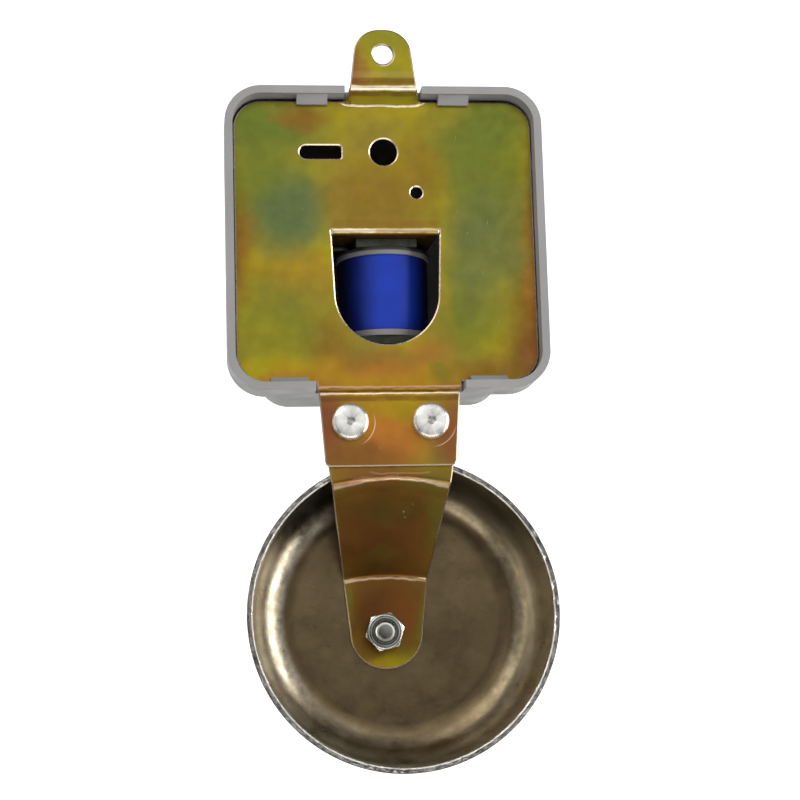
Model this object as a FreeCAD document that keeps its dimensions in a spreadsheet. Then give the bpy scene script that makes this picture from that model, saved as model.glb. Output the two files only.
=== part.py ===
import FreeCAD, Part
import math
import os
import Sketcher

# Mains electric wall bell with one gong, modelled as it hangs.
# +Z is up, the wall is the plane Y = 0 and the front of the bell faces -Y.
# The origin is the centre of the hanging hole, on the wall side of its tab.

# ---------------------------------------------------------------- driving sizes
# All are in millimetres, apart from nut_turn in degrees and spring_turns, a number.
SIZES = {
    # gaps between pieces that touch: riveted or screwed together, and pushed together
    "close_gap": 0.03,
    "press_gap": 0.02,
    # cover: a shallow base with a narrower raised front
    "cover_width": 72.3,
    "cover_height": 69.8,
    "cover_wall": 1.8,
    "cover_corner": 8.5,
    "cover_base_depth": 13.0,
    "cover_depth": 33.0,
    "cover_base_round": 3.0,
    "front_width": 57.6,
    "front_inset": 0.6,
    "front_corner": 7.5,
    "front_round": 4.0,
    "cover_drop": 7.45,
    "hook_reach": 1.05,
    "hook_land": 0.8,
    "hook_ramp": 1.7,
    "hook_gap": 0.1,
    "top_hook_width": 7.0,
    "top_hook_place": 16.2,
    "bottom_hook_width": 8.4,
    "bottom_hook_place": 22.4,
    "top_notch_width": 17.6,
    "bottom_notch_width": 33.4,
    "notch_gap": 0.5,
    "rib_width": 3.0,
    "rib_reach": 1.5,
    "rib_pitch": 36.0,
    "striker_opening": 9.0,
    # base plate: one sheet with the hanging tab, the window, its tongue and the lower tab
    "plate_sheet": 0.8,
    "plate_recess": 3.5,
    "plate_side_gap": 0.3,
    "plate_top_gap": 0.8,
    "plate_bottom_gap": 0.3,
    "bend_radius": 0.5,
    "tab_tip_width": 11.8,
    "tab_root_width": 15.3,
    "tab_foot_width": 16.6,
    "hang_hole": 4.6,
    "joggle_foot": 1.35,
    "joggle_height": 3.4,
    "cable_hole": 6.3,
    "cable_hole_drop": 12.0,
    "spare_hole": 2.8,
    "spare_hole_side": 7.3,
    "spare_hole_drop": 21.5,
    "slot_length": 9.6,
    "slot_height": 3.2,
    "slot_side": 14.4,
    "slot_corner": 0.6,
    "window_drop": 31.45,
    "window_top_width": 24.6,
    "window_taper": 0.55,
    "window_straight": 13.4,
    "bend_relief": 0.1,
    "neck_width": 32.6,
    "neck_length": 1.7,
    "step_depth": 0.9,
    "step_height": 0.8,
    "lower_tab_width": 31.8,
    "lower_tab_end_width": 29.4,
    "lower_tab_length": 16.4,
    "lower_tab_corner": 1.3,
    # gong bracket and its two rivets
    "bracket_sheet": 0.8,
    "bracket_bend": 1.2,
    "bracket_top_width": 28.2,
    "bracket_waist_width": 19.5,
    "lobe_width": 16.8,
    "slope_start": 4.1,
    "slope_drop": 19.8,
    "slope_depth": 19.8,
    "stud_drop": 12.1,
    "stud_side": 0.7,
    "rivet_pitch": 18.1,
    "rivet_drop": 6.4,
    "rivet_edge": 4.6,
    "rivet_shank": 4.0,
    "rivet_head": 8.2,
    "rivet_head_height": 2.0,
    "rivet_foot": 7.2,
    "rivet_foot_height": 1.2,
    "rivet_dimple": 1.4,
    # gong, hung off-centre on its screw
    "gong_diameter": 70.0,
    "gong_depth": 18.1,
    "gong_wall": 1.3,
    "gong_draft": 0.8,
    "gong_corner": 9.0,
    "gong_side": 3.1,
    "gong_rise": 3.4,
    "gong_play": 0.05,
    "screw_thread": 5.0,
    "screw_head": 9.5,
    "screw_head_height": 3.3,
    "screw_slot_width": 1.2,
    "screw_slot_depth": 1.5,
    "screw_end": 0.7,
    "screw_chamfer": 0.5,
    "hole_play": 0.1,
    "nut_flats": 8.0,
    "nut_height": 4.0,
    "nut_turn": 12.5,
    "nut_chamfer": 0.5,
    "thread_gap": 0.03,
    "washer_diameter": 10.0,
    "washer_thickness": 1.0,
    # coil, yoke and guide tube
    "coil_side": 0.4,
    "coil_gap": 1.5,
    "flange_diameter": 21.8,
    "top_flange": 1.7,
    "bottom_flange": 1.4,
    "bobbin_length": 20.5,
    "bobbin_core": 9.2,
    "wrap_diameter": 20.9,
    "wrap_thickness": 0.25,
    "yoke_sheet": 2.0,
    "yoke_width": 14.0,
    "yoke_end_gap": 0.7,
    "yoke_web_gap": 0.3,
    "yoke_bend": 1.0,
    "tube_diameter": 7.4,
    "tube_bore": 6.4,
    "tube_flange": 10.0,
    "tube_flange_height": 0.8,
    "tube_stand": 4.4,
    "tube_gap": 0.05,
    "retainer_diameter": 12.0,
    "retainer_sheet": 0.5,
    "retainer_dish": 0.6,
    "cap_wall": 1.0,
    "cap_top": 1.3,
    "cap_skirt": 3.0,
    "buffer_thickness": 1.5,
    # striker
    "plunger_play": 0.075,
    "plunger_length": 15.0,
    "plunger_chamfer": 0.4,
    "rest_gap": 0.3,
    "rod_diameter": 2.5,
    "rod_socket": 6.0,
    "rod_play": 0.07,
    "tip_diameter": 5.2,
    "tip_length": 6.0,
    "tip_floor": 2.0,
    "tip_round": 1.2,
    "tip_chamfer": 0.4,
    "strike_gap": 2.7,
    "bush_length": 4.0,
    "spring_wire": 0.4,
    "spring_diameter": 4.4,
    "spring_turns": 6.0,
    # terminal block beside the guide tube, on the tongue
    "block_width": 6.0,
    "block_length": 14.8,
    "block_height": 8.0,
    "block_gap": 0.2,
    "block_round": 0.6,
    "pole_pitch": 8.2,
    "pole_diameter": 4.2,
    "pole_length": 5.4,
    "pole_height": 4.0,
    "wire_hole": 1.3,
    "clamp_thread": 2.4,
    "clamp_head": 3.6,
    "clamp_head_height": 1.2,
    "clamp_slot": 0.6,
    "clamp_well": 3.9,
    "pin_shank": 2.1,
    "pin_head": 3.8,
    "pin_head_height": 0.7,
    "lead_diameter": 1.1,
    "lead_hole": 1.5,
    "lead_bend": 1.2,
    "lead_clear": 0.9,
    "lead_entry": 1.0,
}

doc = FreeCAD.newDocument("wall_bell")
sheet = doc.addObject("Spreadsheet::Sheet", "Sizes")


class Length:
    """A size: its number now, and the spreadsheet expression that keeps it up to date."""

    def __init__(self, value, text):
        self.value = value
        self.text = text

    @staticmethod
    def of(other):
        if isinstance(other, Length):
            return other
        return Length(float(other), repr(float(other)))

    def joined(self, sign, other, value):
        return Length(value, "({} {} {})".format(self.text, sign, other.text))

    def __add__(self, other):
        other = Length.of(other)
        return self.joined("+", other, self.value + other.value)

    def __sub__(self, other):
        other = Length.of(other)
        return self.joined("-", other, self.value - other.value)

    def __mul__(self, other):
        other = Length.of(other)
        return self.joined("*", other, self.value * other.value)

    def __truediv__(self, other):
        other = Length.of(other)
        return self.joined("/", other, self.value / other.value)

    def __neg__(self):
        return Length(-self.value, "(0 - {})".format(self.text))

    def root(self):
        return Length(math.sqrt(self.value), "sqrt({})".format(self.text))

    def cosine(self):
        return Length(math.cos(math.radians(self.value)), "cos({})".format(self.text))

    def sine(self):
        return Length(math.sin(math.radians(self.value)), "sin({})".format(self.text))


class Sheet:
    """The driving sizes as attributes, each bound to its own spreadsheet cell."""


def fill_sheet():
    """Write every driving size into the spreadsheet and return them by name."""
    named = Sheet()
    for row, (alias, value) in enumerate(SIZES.items(), start=1):
        cell = "A{}".format(row)
        sheet.set(cell, str(value))
        sheet.setAlias(cell, alias)
        setattr(named, alias, Length(value, "Sizes." + alias))
    doc.recompute()
    return named


d = fill_sheet()
ZERO = Length(0.0, "0")
TOLERANCE = 1e-4
BOX_TOLERANCE = 1e-3
FULL_ROUND = 0.99
BEYOND = Length(1.0, "1")

# ---------------------------------------------------------------- places worked out from the sizes
cover_top = -d.cover_drop
cover_bottom = cover_top - d.cover_height
cover_side = d.cover_width / 2
cover_middle = cover_top - d.cover_height / 2

plate_back = -d.plate_recess
plate_front = plate_back - d.plate_sheet
plate_side = cover_side - d.cover_wall - d.plate_side_gap
plate_corner = d.cover_corner - d.cover_wall - d.plate_side_gap
plate_top = cover_top - d.cover_wall - d.plate_top_gap
plate_bottom = cover_bottom + d.cover_wall + d.plate_bottom_gap
joggle_low = plate_top - d.joggle_foot
joggle_high = joggle_low + d.joggle_height
tab_top = d.tab_tip_width / 2
window_top = plate_top - d.window_drop
window_radius = d.window_top_width / 2 - d.window_taper
step_high = plate_bottom - d.neck_length
step_low = step_high - d.step_height
lower_back = plate_back - d.step_depth
lower_front = lower_back - d.plate_sheet
lower_end = step_low - d.lower_tab_length
hole_row = plate_top - d.cable_hole_drop
tongue_top = window_top + d.plate_sheet

rivet_z = step_low - d.rivet_drop
rivet_x = d.rivet_pitch / 2
bracket_back = lower_front
bracket_front = bracket_back - d.bracket_sheet
bracket_top = rivet_z + d.rivet_edge
slope_high = lower_end - d.slope_start
slope_low = slope_high - d.slope_drop
lobe_back = bracket_back - d.slope_depth
lobe_front = lobe_back - d.bracket_sheet
stud_x = d.stud_side
stud_z = slope_low - d.stud_drop
lobe_end = stud_z - d.lobe_width / 2

gong_x = stud_x - d.gong_side
gong_z = stud_z + d.gong_rise
gong_radius = d.gong_diameter / 2
gong_floor = lobe_front - d.gong_play
gong_face = gong_floor - d.gong_wall
gong_rim = gong_floor + d.gong_depth
washer_back = gong_face - d.gong_play
washer_front = washer_back - d.washer_thickness

coil_x = -d.coil_side
flange_radius = d.flange_diameter / 2
coil_y = plate_front - d.coil_gap - flange_radius
yoke_top = window_top
bobbin_top = yoke_top - d.yoke_sheet
bobbin_bottom = bobbin_top - d.bobbin_length
winding_top = bobbin_top - d.top_flange
winding_bottom = bobbin_bottom + d.bottom_flange
yoke_bottom = bobbin_bottom - d.yoke_sheet
wrap_radius = d.wrap_diameter / 2
winding_radius = wrap_radius - d.wrap_thickness
tube_radius = d.tube_diameter / 2
tube_bore = d.tube_bore / 2
tube_top = tongue_top + d.tube_stand
tube_bottom = yoke_bottom - d.tube_flange_height
tube_hole = tube_radius + d.tube_gap

plunger_radius = tube_bore - d.plunger_play
plunger_top = tube_top - d.buffer_thickness - d.rest_gap
plunger_bottom = plunger_top - d.plunger_length
rod_radius = d.rod_diameter / 2
bush_top = tube_bottom + d.bush_length
share_of_draft = (gong_rim - coil_y) / (gong_rim - gong_face)
struck_radius = gong_radius - d.gong_draft * share_of_draft
struck_side = coil_x - gong_x
struck_top = gong_z + (struck_radius * struck_radius - struck_side * struck_side).root()
tip_bottom = struck_top + d.strike_gap
rod_bottom = tip_bottom + d.tip_floor

block_inner = coil_x + d.retainer_diameter / 2 + d.block_gap
block_outer = block_inner + d.block_width
block_middle = block_inner + d.block_width / 2
block_top = tongue_top + d.block_height
pole_z = tongue_top + d.pole_height
pole_radius = d.pole_diameter / 2
lead_radius = d.lead_diameter / 2
clamp_seat = pole_z + pole_radius


# ---------------------------------------------------------------- drawing helpers
def new_body(label):
    """A body whose label is the sub-part's name."""
    body = doc.addObject("PartDesign::Body", label)
    body.Label = label
    return body


def new_sketch(body, plane, offset):
    """A sketch on one of the body's own planes, moved by offset along the plane's axes."""
    sketch = body.newObject("Sketcher::SketchObject", body.Label + "_sketch")
    wanted = plane + "_Plane"
    origin_plane = [f for f in body.Origin.OriginFeatures if f.Role == wanted][0]
    sketch.AttachmentSupport = [(origin_plane, "")]
    sketch.MapMode = "FlatFace"
    base = FreeCAD.Vector(*[length.value for length in offset])
    sketch.AttachmentOffset = FreeCAD.Placement(base, FreeCAD.Rotation())
    for axis, length in zip("xyz", offset):
        if length is not ZERO:
            sketch.setExpression("AttachmentOffset.Base." + axis, length.text)
    return sketch


def fix_coordinate(sketch, geometry, point, kind, length):
    """Hold a sketch point at its DistanceX or DistanceY from the sketch's origin."""
    if length is ZERO:
        axis = -2 if kind == "DistanceX" else -1
        sketch.addConstraint(Sketcher.Constraint("PointOnObject", geometry, point, axis))
        return
    held = Sketcher.Constraint(kind, -1, 1, geometry, point, length.value)
    number = sketch.addConstraint(held)
    sketch.setExpression("Constraints[{}]".format(number), length.text)


def fix_point(sketch, geometry, point, x, y):
    """Hold a sketch point at x and y from the sketch's origin."""
    fix_coordinate(sketch, geometry, point, "DistanceX", x)
    fix_coordinate(sketch, geometry, point, "DistanceY", y)


def fix_radius(sketch, geometry, radius):
    """Hold the radius of a circle or an arc."""
    number = sketch.addConstraint(Sketcher.Constraint("Radius", geometry, radius.value))
    sketch.setExpression("Constraints[{}]".format(number), radius.text)


def flat_point(place):
    """A sketch point from a pair of sizes."""
    return FreeCAD.Vector(place[0].value, place[1].value, 0)


def draw_polygon(sketch, corners):
    """A closed outline of straight lines through the corners."""
    points = [flat_point(corner) for corner in corners]
    first = sketch.GeometryCount
    count = len(corners)
    for i in range(count):
        sketch.addGeometry(Part.LineSegment(points[i], points[(i + 1) % count]), False)
    for i in range(count):
        following = first + (i + 1) % count
        sketch.addConstraint(Sketcher.Constraint("Coincident", first + i, 2, following, 1))
    for i, (x, y) in enumerate(corners):
        fix_point(sketch, first + i, 1, x, y)


def draw_rectangle(sketch, left, right, low, high):
    """An upright rectangle between two x and two y places."""
    draw_polygon(sketch, [(left, low), (right, low), (right, high), (left, high)])


def draw_circle(sketch, x, y, radius):
    """A circle, held at its centre and by its radius."""
    circle = Part.Circle(flat_point((x, y)), FreeCAD.Vector(0, 0, 1), radius.value)
    geometry = sketch.addGeometry(circle, False)
    fix_radius(sketch, geometry, radius)
    fix_point(sketch, geometry, 3, x, y)


def draw_rounded_rectangle(sketch, left, right, low, high, radius):
    """An upright rectangle with four round corners."""
    sides = [
        ((left + radius, low), (right - radius, low)),
        ((right, low + radius), (right, high - radius)),
        ((right - radius, high), (left + radius, high)),
        ((left, high - radius), (left, low + radius)),
    ]
    centres = [(right - radius, low + radius), (right - radius, high - radius),
               (left + radius, high - radius), (left + radius, low + radius)]
    for start, end in sides:
        line = Part.LineSegment(flat_point(start), flat_point(end))
        geometry = sketch.addGeometry(line, False)
        fix_point(sketch, geometry, 1, *start)
        fix_point(sketch, geometry, 2, *end)
    for i, centre in enumerate(centres):
        circle = Part.Circle(flat_point(centre), FreeCAD.Vector(0, 0, 1), radius.value)
        start_angle = (i - 1) * math.pi / 2
        arc = Part.ArcOfCircle(circle, start_angle, start_angle + math.pi / 2)
        geometry = sketch.addGeometry(arc, False)
        sketch.addConstraint(Sketcher.Constraint("Coincident", i, 2, geometry, 1))
        sketch.addConstraint(Sketcher.Constraint("Coincident", geometry, 2, (i + 1) % 4, 1))
        fix_radius(sketch, geometry, radius)


def draw_tongue_outline(sketch, root):
    """The D outline of the window and of the tongue bent out of it, from its straight root."""
    wide = d.window_top_width / 2
    radius = window_radius
    centre = root - d.window_straight
    corners = [(-radius, centre), (-wide, root), (wide, root), (radius, centre)]
    for start, end in zip(corners, corners[1:]):
        sketch.addGeometry(Part.LineSegment(flat_point(start), flat_point(end)), False)
    circle = Part.Circle(flat_point((ZERO, centre)), FreeCAD.Vector(0, 0, 1), radius.value)
    arc = sketch.addGeometry(Part.ArcOfCircle(circle, math.pi, 2 * math.pi), False)
    for first, second in ((0, 1), (1, 2)):
        sketch.addConstraint(Sketcher.Constraint("Coincident", first, 2, second, 1))
    sketch.addConstraint(Sketcher.Constraint("Coincident", 0, 1, arc, 1))
    sketch.addConstraint(Sketcher.Constraint("Coincident", 2, 2, arc, 2))
    for geometry, point, place in ((0, 1, 0), (0, 2, 1), (1, 2, 2), (2, 2, 3)):
        fix_point(sketch, geometry, point, *corners[place])
    fix_coordinate(sketch, arc, 3, "DistanceY", centre)


def slab(body, kind, plane, low, high, draw):
    """A pad or pocket of a sketch across X (YZ), Y (XZ) or Z (XY), from low to high."""
    adding = kind == "PartDesign::Pad"
    if plane == "XZ":
        along_normal = -high if adding else -low
    else:
        along_normal = low if adding else high
    sketch = new_sketch(body, plane, (ZERO, ZERO, along_normal))
    draw(sketch)
    feature = body.newObject(kind, body.Label + "_slab")
    feature.Profile = sketch
    depth = high - low
    feature.Length = depth.value
    feature.setExpression("Length", depth.text)
    doc.recompute()
    return feature


def add_slab(body, plane, low, high, draw):
    """Add the drawn outline between two places along the plane's own axis."""
    slab(body, "PartDesign::Pad", plane, low, high, draw)


def cut_slab(body, plane, low, high, draw):
    """Cut the drawn outline between two places along the plane's own axis."""
    before = body.Shape.Volume
    slab(body, "PartDesign::Pocket", plane, low, high, draw)
    if body.Shape.Volume >= before:
        raise RuntimeError("a cut in {} removed nothing".format(body.Label))


def circle_at(x, y, radius):
    """A drawing function for one circle."""
    return lambda sketch: draw_circle(sketch, x, y, radius)


def rectangle_at(left, right, low, high):
    """A drawing function for one rectangle."""
    return lambda sketch: draw_rectangle(sketch, left, right, low, high)


def rounded_at(left, right, low, high, radius):
    """A drawing function for one rounded rectangle."""
    return lambda sketch: draw_rounded_rectangle(sketch, left, right, low, high, radius)


def outside_of(left, right, low, high, corners):
    """A drawing function for all between a large rectangle and the outline inside it."""
    def draw(sketch):
        draw_rectangle(sketch, left, right, low, high)
        draw_polygon(sketch, corners)
    return draw


def turn(label, axis, centre, profile):
    """A body turned about an axis through centre, from (place along the axis, radius) pairs."""
    body = new_body(label)
    if axis == "Z":
        sketch = new_sketch(body, "XZ", (centre[0], ZERO, -centre[1]))
        corners = [(radius, place) for place, radius in profile]
    elif axis == "Y":
        sketch = new_sketch(body, "YZ", (ZERO, centre[1], centre[0]))
        corners = profile
    else:
        sketch = new_sketch(body, "XY", (ZERO, centre[0], centre[1]))
        corners = profile
    draw_polygon(sketch, corners)
    feature = body.newObject("PartDesign::Revolution", label + "_turned")
    feature.Profile = sketch
    feature.ReferenceAxis = (sketch, ["V_Axis" if axis == "Z" else "H_Axis"])
    feature.Angle = 360
    doc.recompute()
    return body


def near(a, b):
    return abs(a - b) < TOLERANCE


def edges_along(body, axis, places):
    """Names of the straight edges parallel to an axis that pass through the given places."""
    across = [i for i in range(3) if "XYZ"[i] != axis]
    wanted = [(first.value, second.value) for first, second in places]
    names = []
    for number, edge in enumerate(body.Tip.Shape.Edges, start=1):
        if edge.Curve.TypeId != "Part::GeomLine" or len(edge.Vertexes) != 2:
            continue
        ends = [vertex.Point for vertex in edge.Vertexes]
        for place in wanted:
            if all(near(p[across[i]], place[i]) for p in ends for i in (0, 1)):
                names.append("Edge{}".format(number))
                break
    return names


def edges_in_plane(body, axis, place):
    """Names of the edges that lie in the plane at a place along an axis."""
    names = []
    for number, edge in enumerate(body.Tip.Shape.Edges, start=1):
        box = edge.BoundBox
        low = getattr(box, axis + "Min")
        high = getattr(box, axis + "Max")
        if abs(low - place.value) < BOX_TOLERANCE and abs(high - place.value) < BOX_TOLERANCE:
            names.append("Edge{}".format(number))
    return names


def round_edges(body, names, radius):
    """Fillet the named edges of the body's last feature."""
    if not names:
        raise RuntimeError("no edge to round in {}".format(body.Label))
    base = body.Tip
    feature = body.newObject("PartDesign::Fillet", body.Label + "_round")
    feature.Base = (base, names)
    feature.Radius = radius.value
    feature.setExpression("Radius", radius.text)
    doc.recompute()
    return feature


def group(label, members):
    """Several like solids under one label."""
    compound = doc.addObject("Part::Compound", label)
    compound.Links = members
    compound.Label = label
    doc.recompute()
    return compound


def bend_shift(thickness, across, down):
    """How much higher a sheet's front corner is than its back one, where it leans forward."""
    slant = (across * across + down * down).root()
    return thickness * (slant - down) / across


def mirrored(corners):
    """A closed outline from its right half, listed from the top down."""
    return corners + [(-x, y) for x, y in reversed(corners)]


def round_bends(body, outer, inner, radius, thickness):
    """Round the two sides of the bends of a sheet, given the (y, z) of their corners."""
    round_edges(body, edges_along(body, "X", outer), radius + thickness)
    round_edges(body, edges_along(body, "X", inner), radius)


def bend_tongue(body):
    """Add the tongue bent forwards out of the window, with a relief each side of its bend."""
    half = d.window_top_width / 2
    relief_side = half + d.bend_relief
    relief_low = window_top - d.bend_relief
    relief_top = window_top + d.bend_radius + d.plate_sheet + d.bend_relief
    cut_slab(body, "XZ", lower_front - BEYOND, BEYOND,
             rectangle_at(-relief_side, relief_side, relief_low, relief_top))
    root = relief_top + BEYOND
    reach = plate_back - d.window_straight - window_radius - BEYOND
    side_view = [(plate_back, root), (plate_back, window_top), (reach, window_top),
                 (reach, tongue_top), (plate_front, tongue_top), (plate_front, root)]
    add_slab(body, "YZ", -half, half, lambda sketch: draw_polygon(sketch, side_view))
    round_bends(body, [(plate_back, window_top)], [(plate_front, tongue_top)],
                d.bend_radius, d.plate_sheet)

    def trim(sketch):
        draw_tongue_outline(sketch, plate_back)
        draw_rectangle(sketch, -relief_side, relief_side, reach - BEYOND, plate_back + BEYOND)
    cut_slab(body, "XY", relief_low, tongue_top, trim)
    cut_slab(body, "XY", window_top - BEYOND, tongue_top + BEYOND,
             circle_at(coil_x, coil_y, tube_hole))
    cut_slab(body, "XY", window_top - BEYOND, tongue_top + BEYOND,
             circle_at(block_middle, coil_y, d.pin_shank / 2 + d.close_gap))


# ---------------------------------------------------------------- sheet metal
def make_base_plate():
    """The back plate: hanging tab, joggle, holes, window with its tongue, and the lower tab."""
    body = new_body("base_plate")
    upper_shift = bend_shift(d.plate_sheet, d.plate_recess, d.joggle_height)
    lower_shift = bend_shift(d.plate_sheet, d.step_depth, d.step_height)
    tip, root, foot = d.tab_tip_width / 2, d.tab_root_width / 2, d.tab_foot_width / 2
    neck, low, end = d.neck_width / 2, d.lower_tab_width / 2, d.lower_tab_end_width / 2
    notch = joggle_low - d.bend_radius

    step_back = [(plate_back, step_high), (lower_back, step_low)]
    step_front = [(plate_front, step_high + lower_shift), (lower_front, step_low + lower_shift)]
    lower_view = [(plate_back, notch)] + step_back + [(lower_back, lower_end)]
    lower_view += [(lower_front, lower_end)] + step_front[::-1] + [(plate_front, notch)]
    add_slab(body, "YZ", -neck, neck, lambda sketch: draw_polygon(sketch, lower_view))
    round_bends(body, [step_back[0], step_front[1]], [step_back[1], step_front[0]],
                d.bend_radius, d.plate_sheet)

    tab_front = -d.plate_sheet
    joggle_back = [(ZERO, joggle_high), (plate_back, joggle_low)]
    joggle_front = [(tab_front, joggle_high + upper_shift),
                    (plate_front, joggle_low + upper_shift)]
    upper_view = [(ZERO, tab_top)] + joggle_back + [(plate_back, window_top)]
    upper_view += [(plate_front, window_top)] + joggle_front[::-1] + [(tab_front, tab_top)]
    add_slab(body, "YZ", -foot, foot, lambda sketch: draw_polygon(sketch, upper_view))
    round_bends(body, [joggle_back[0], joggle_front[1]], [joggle_back[1], joggle_front[0]],
                d.bend_radius, d.plate_sheet)

    front_view = mirrored([
        (tip, tab_top), (root, joggle_high), (foot, plate_top), (neck, plate_top),
        (neck, step_high), (low, step_low), (end, lower_end)])
    frame = (-neck - BEYOND, neck + BEYOND, lower_end - BEYOND, tab_top + BEYOND)
    cut_slab(body, "XZ", lower_front - BEYOND, BEYOND, outside_of(*frame, front_view))
    both = (Length(-1.0, "-1"), Length(1.0, "1"))
    round_edges(body, edges_along(body, "Y", [(side * tip, tab_top) for side in both]),
                tip * FULL_ROUND)
    round_edges(body, edges_along(body, "Y", [(side * end, lower_end) for side in both]),
                d.lower_tab_corner)

    panel = mirrored([(foot, notch), (foot, plate_top), (plate_side, plate_top),
                      (plate_side, plate_bottom)])
    add_slab(body, "XZ", plate_front, plate_back, lambda sketch: draw_polygon(sketch, panel))
    plate_corners = [(side * plate_side, z) for side in both for z in (plate_top, plate_bottom)]
    round_edges(body, edges_along(body, "Y", plate_corners), plate_corner)

    holes = [(ZERO, ZERO, d.hang_hole / 2), (ZERO, hole_row, d.cable_hole / 2),
             (-d.spare_hole_side, plate_top - d.spare_hole_drop, d.spare_hole / 2),
             (-rivet_x, rivet_z, d.rivet_shank / 2 + d.close_gap),
             (rivet_x, rivet_z, d.rivet_shank / 2 + d.close_gap)]
    for x, z, radius in holes:
        cut_slab(body, "XZ", lower_front - BEYOND, BEYOND, circle_at(x, z, radius))
    slot_start, slot_end = d.slot_side - d.slot_length / 2, d.slot_side + d.slot_length / 2
    half = d.slot_height / 2
    for end, radius in ((slot_end, half * FULL_ROUND), (d.slot_side, d.slot_corner)):
        cut_slab(body, "XZ", lower_front - BEYOND, BEYOND,
                 rounded_at(slot_start, end, hole_row - half, hole_row + half, radius))
    cut_slab(body, "XZ", lower_front - BEYOND, BEYOND,
             lambda sketch: draw_tongue_outline(sketch, window_top))
    bend_tongue(body)
    return body


def make_gong_bracket():
    """The bracket that leans forward from the lower tab into the gong and ends in a round lobe."""
    body = new_body("gong_bracket")
    shift = bend_shift(d.bracket_sheet, d.slope_depth, d.slope_drop)
    back = [(bracket_back, slope_high), (lobe_back, slope_low)]
    front = [(bracket_front, slope_high + shift), (lobe_front, slope_low + shift)]
    side_view = [(bracket_back, bracket_top)] + back + [(lobe_back, lobe_end)]
    side_view += [(lobe_front, lobe_end)] + front[::-1] + [(bracket_front, bracket_top)]
    wide = d.bracket_top_width / 2 + BEYOND
    add_slab(body, "YZ", -wide, wide, lambda sketch: draw_polygon(sketch, side_view))
    round_bends(body, [back[0], front[1]], [back[1], front[0]],
                d.bracket_bend, d.bracket_sheet)

    top, waist, lobe = d.bracket_top_width / 2, d.bracket_waist_width / 2, d.lobe_width / 2
    front_view = mirrored([(top, bracket_top), (top, lower_end), (waist, slope_low),
                           (lobe, stud_z), (lobe, lobe_end)])
    frame = (-wide - BEYOND, wide + BEYOND, lobe_end - BEYOND, bracket_top + BEYOND)
    cut_slab(body, "XZ", lobe_front - BEYOND, bracket_back + BEYOND,
             outside_of(*frame, front_view))
    round_edges(body, edges_along(body, "Y", [(lobe, lobe_end), (-lobe, lobe_end)]),
                lobe * FULL_ROUND)
    holes = [(-rivet_x, rivet_z, d.rivet_shank / 2 + d.close_gap),
             (rivet_x, rivet_z, d.rivet_shank / 2 + d.close_gap),
             (stud_x, stud_z, d.screw_thread / 2 + d.hole_play)]
    for x, z, radius in holes:
        cut_slab(body, "XZ", lobe_front - BEYOND, bracket_back + BEYOND, circle_at(x, z, radius))
    return body


def make_yoke():
    """The steel strip bent round the coil, open towards the wall, that closes its magnetic path."""
    body = new_body("yoke")
    end = coil_y + flange_radius - d.yoke_end_gap
    inner = coil_y - flange_radius - d.yoke_web_gap
    outer = inner - d.yoke_sheet
    side_view = [(end, yoke_top), (outer, yoke_top), (outer, yoke_bottom), (end, yoke_bottom),
                 (end, bobbin_bottom), (inner, bobbin_bottom), (inner, bobbin_top),
                 (end, bobbin_top)]
    half = d.yoke_width / 2
    add_slab(body, "YZ", coil_x - half, coil_x + half,
             lambda sketch: draw_polygon(sketch, side_view))
    round_edges(body, edges_along(body, "X", [(outer, yoke_top), (outer, yoke_bottom)]),
                d.yoke_bend)
    cut_slab(body, "XY", yoke_bottom - BEYOND, yoke_top + BEYOND,
             circle_at(coil_x, coil_y, tube_hole))
    return body


# ---------------------------------------------------------------- cover
def add_hook(body, middle, width, wall, tip, inward):
    """A snap hook: a ramp for the plate to pass and a land that then holds its back."""
    land_front = plate_back + d.hook_gap
    land_back = land_front + d.hook_land
    ramp_back = land_back + d.hook_ramp
    root = wall + d.cover_wall / 2 * inward
    corners = [(land_front, root), (land_front, tip), (land_back, tip), (ramp_back, wall),
               (ramp_back, root)]
    add_slab(body, "YZ", middle - width / 2, middle + width / 2,
             lambda sketch: draw_polygon(sketch, corners))


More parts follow.
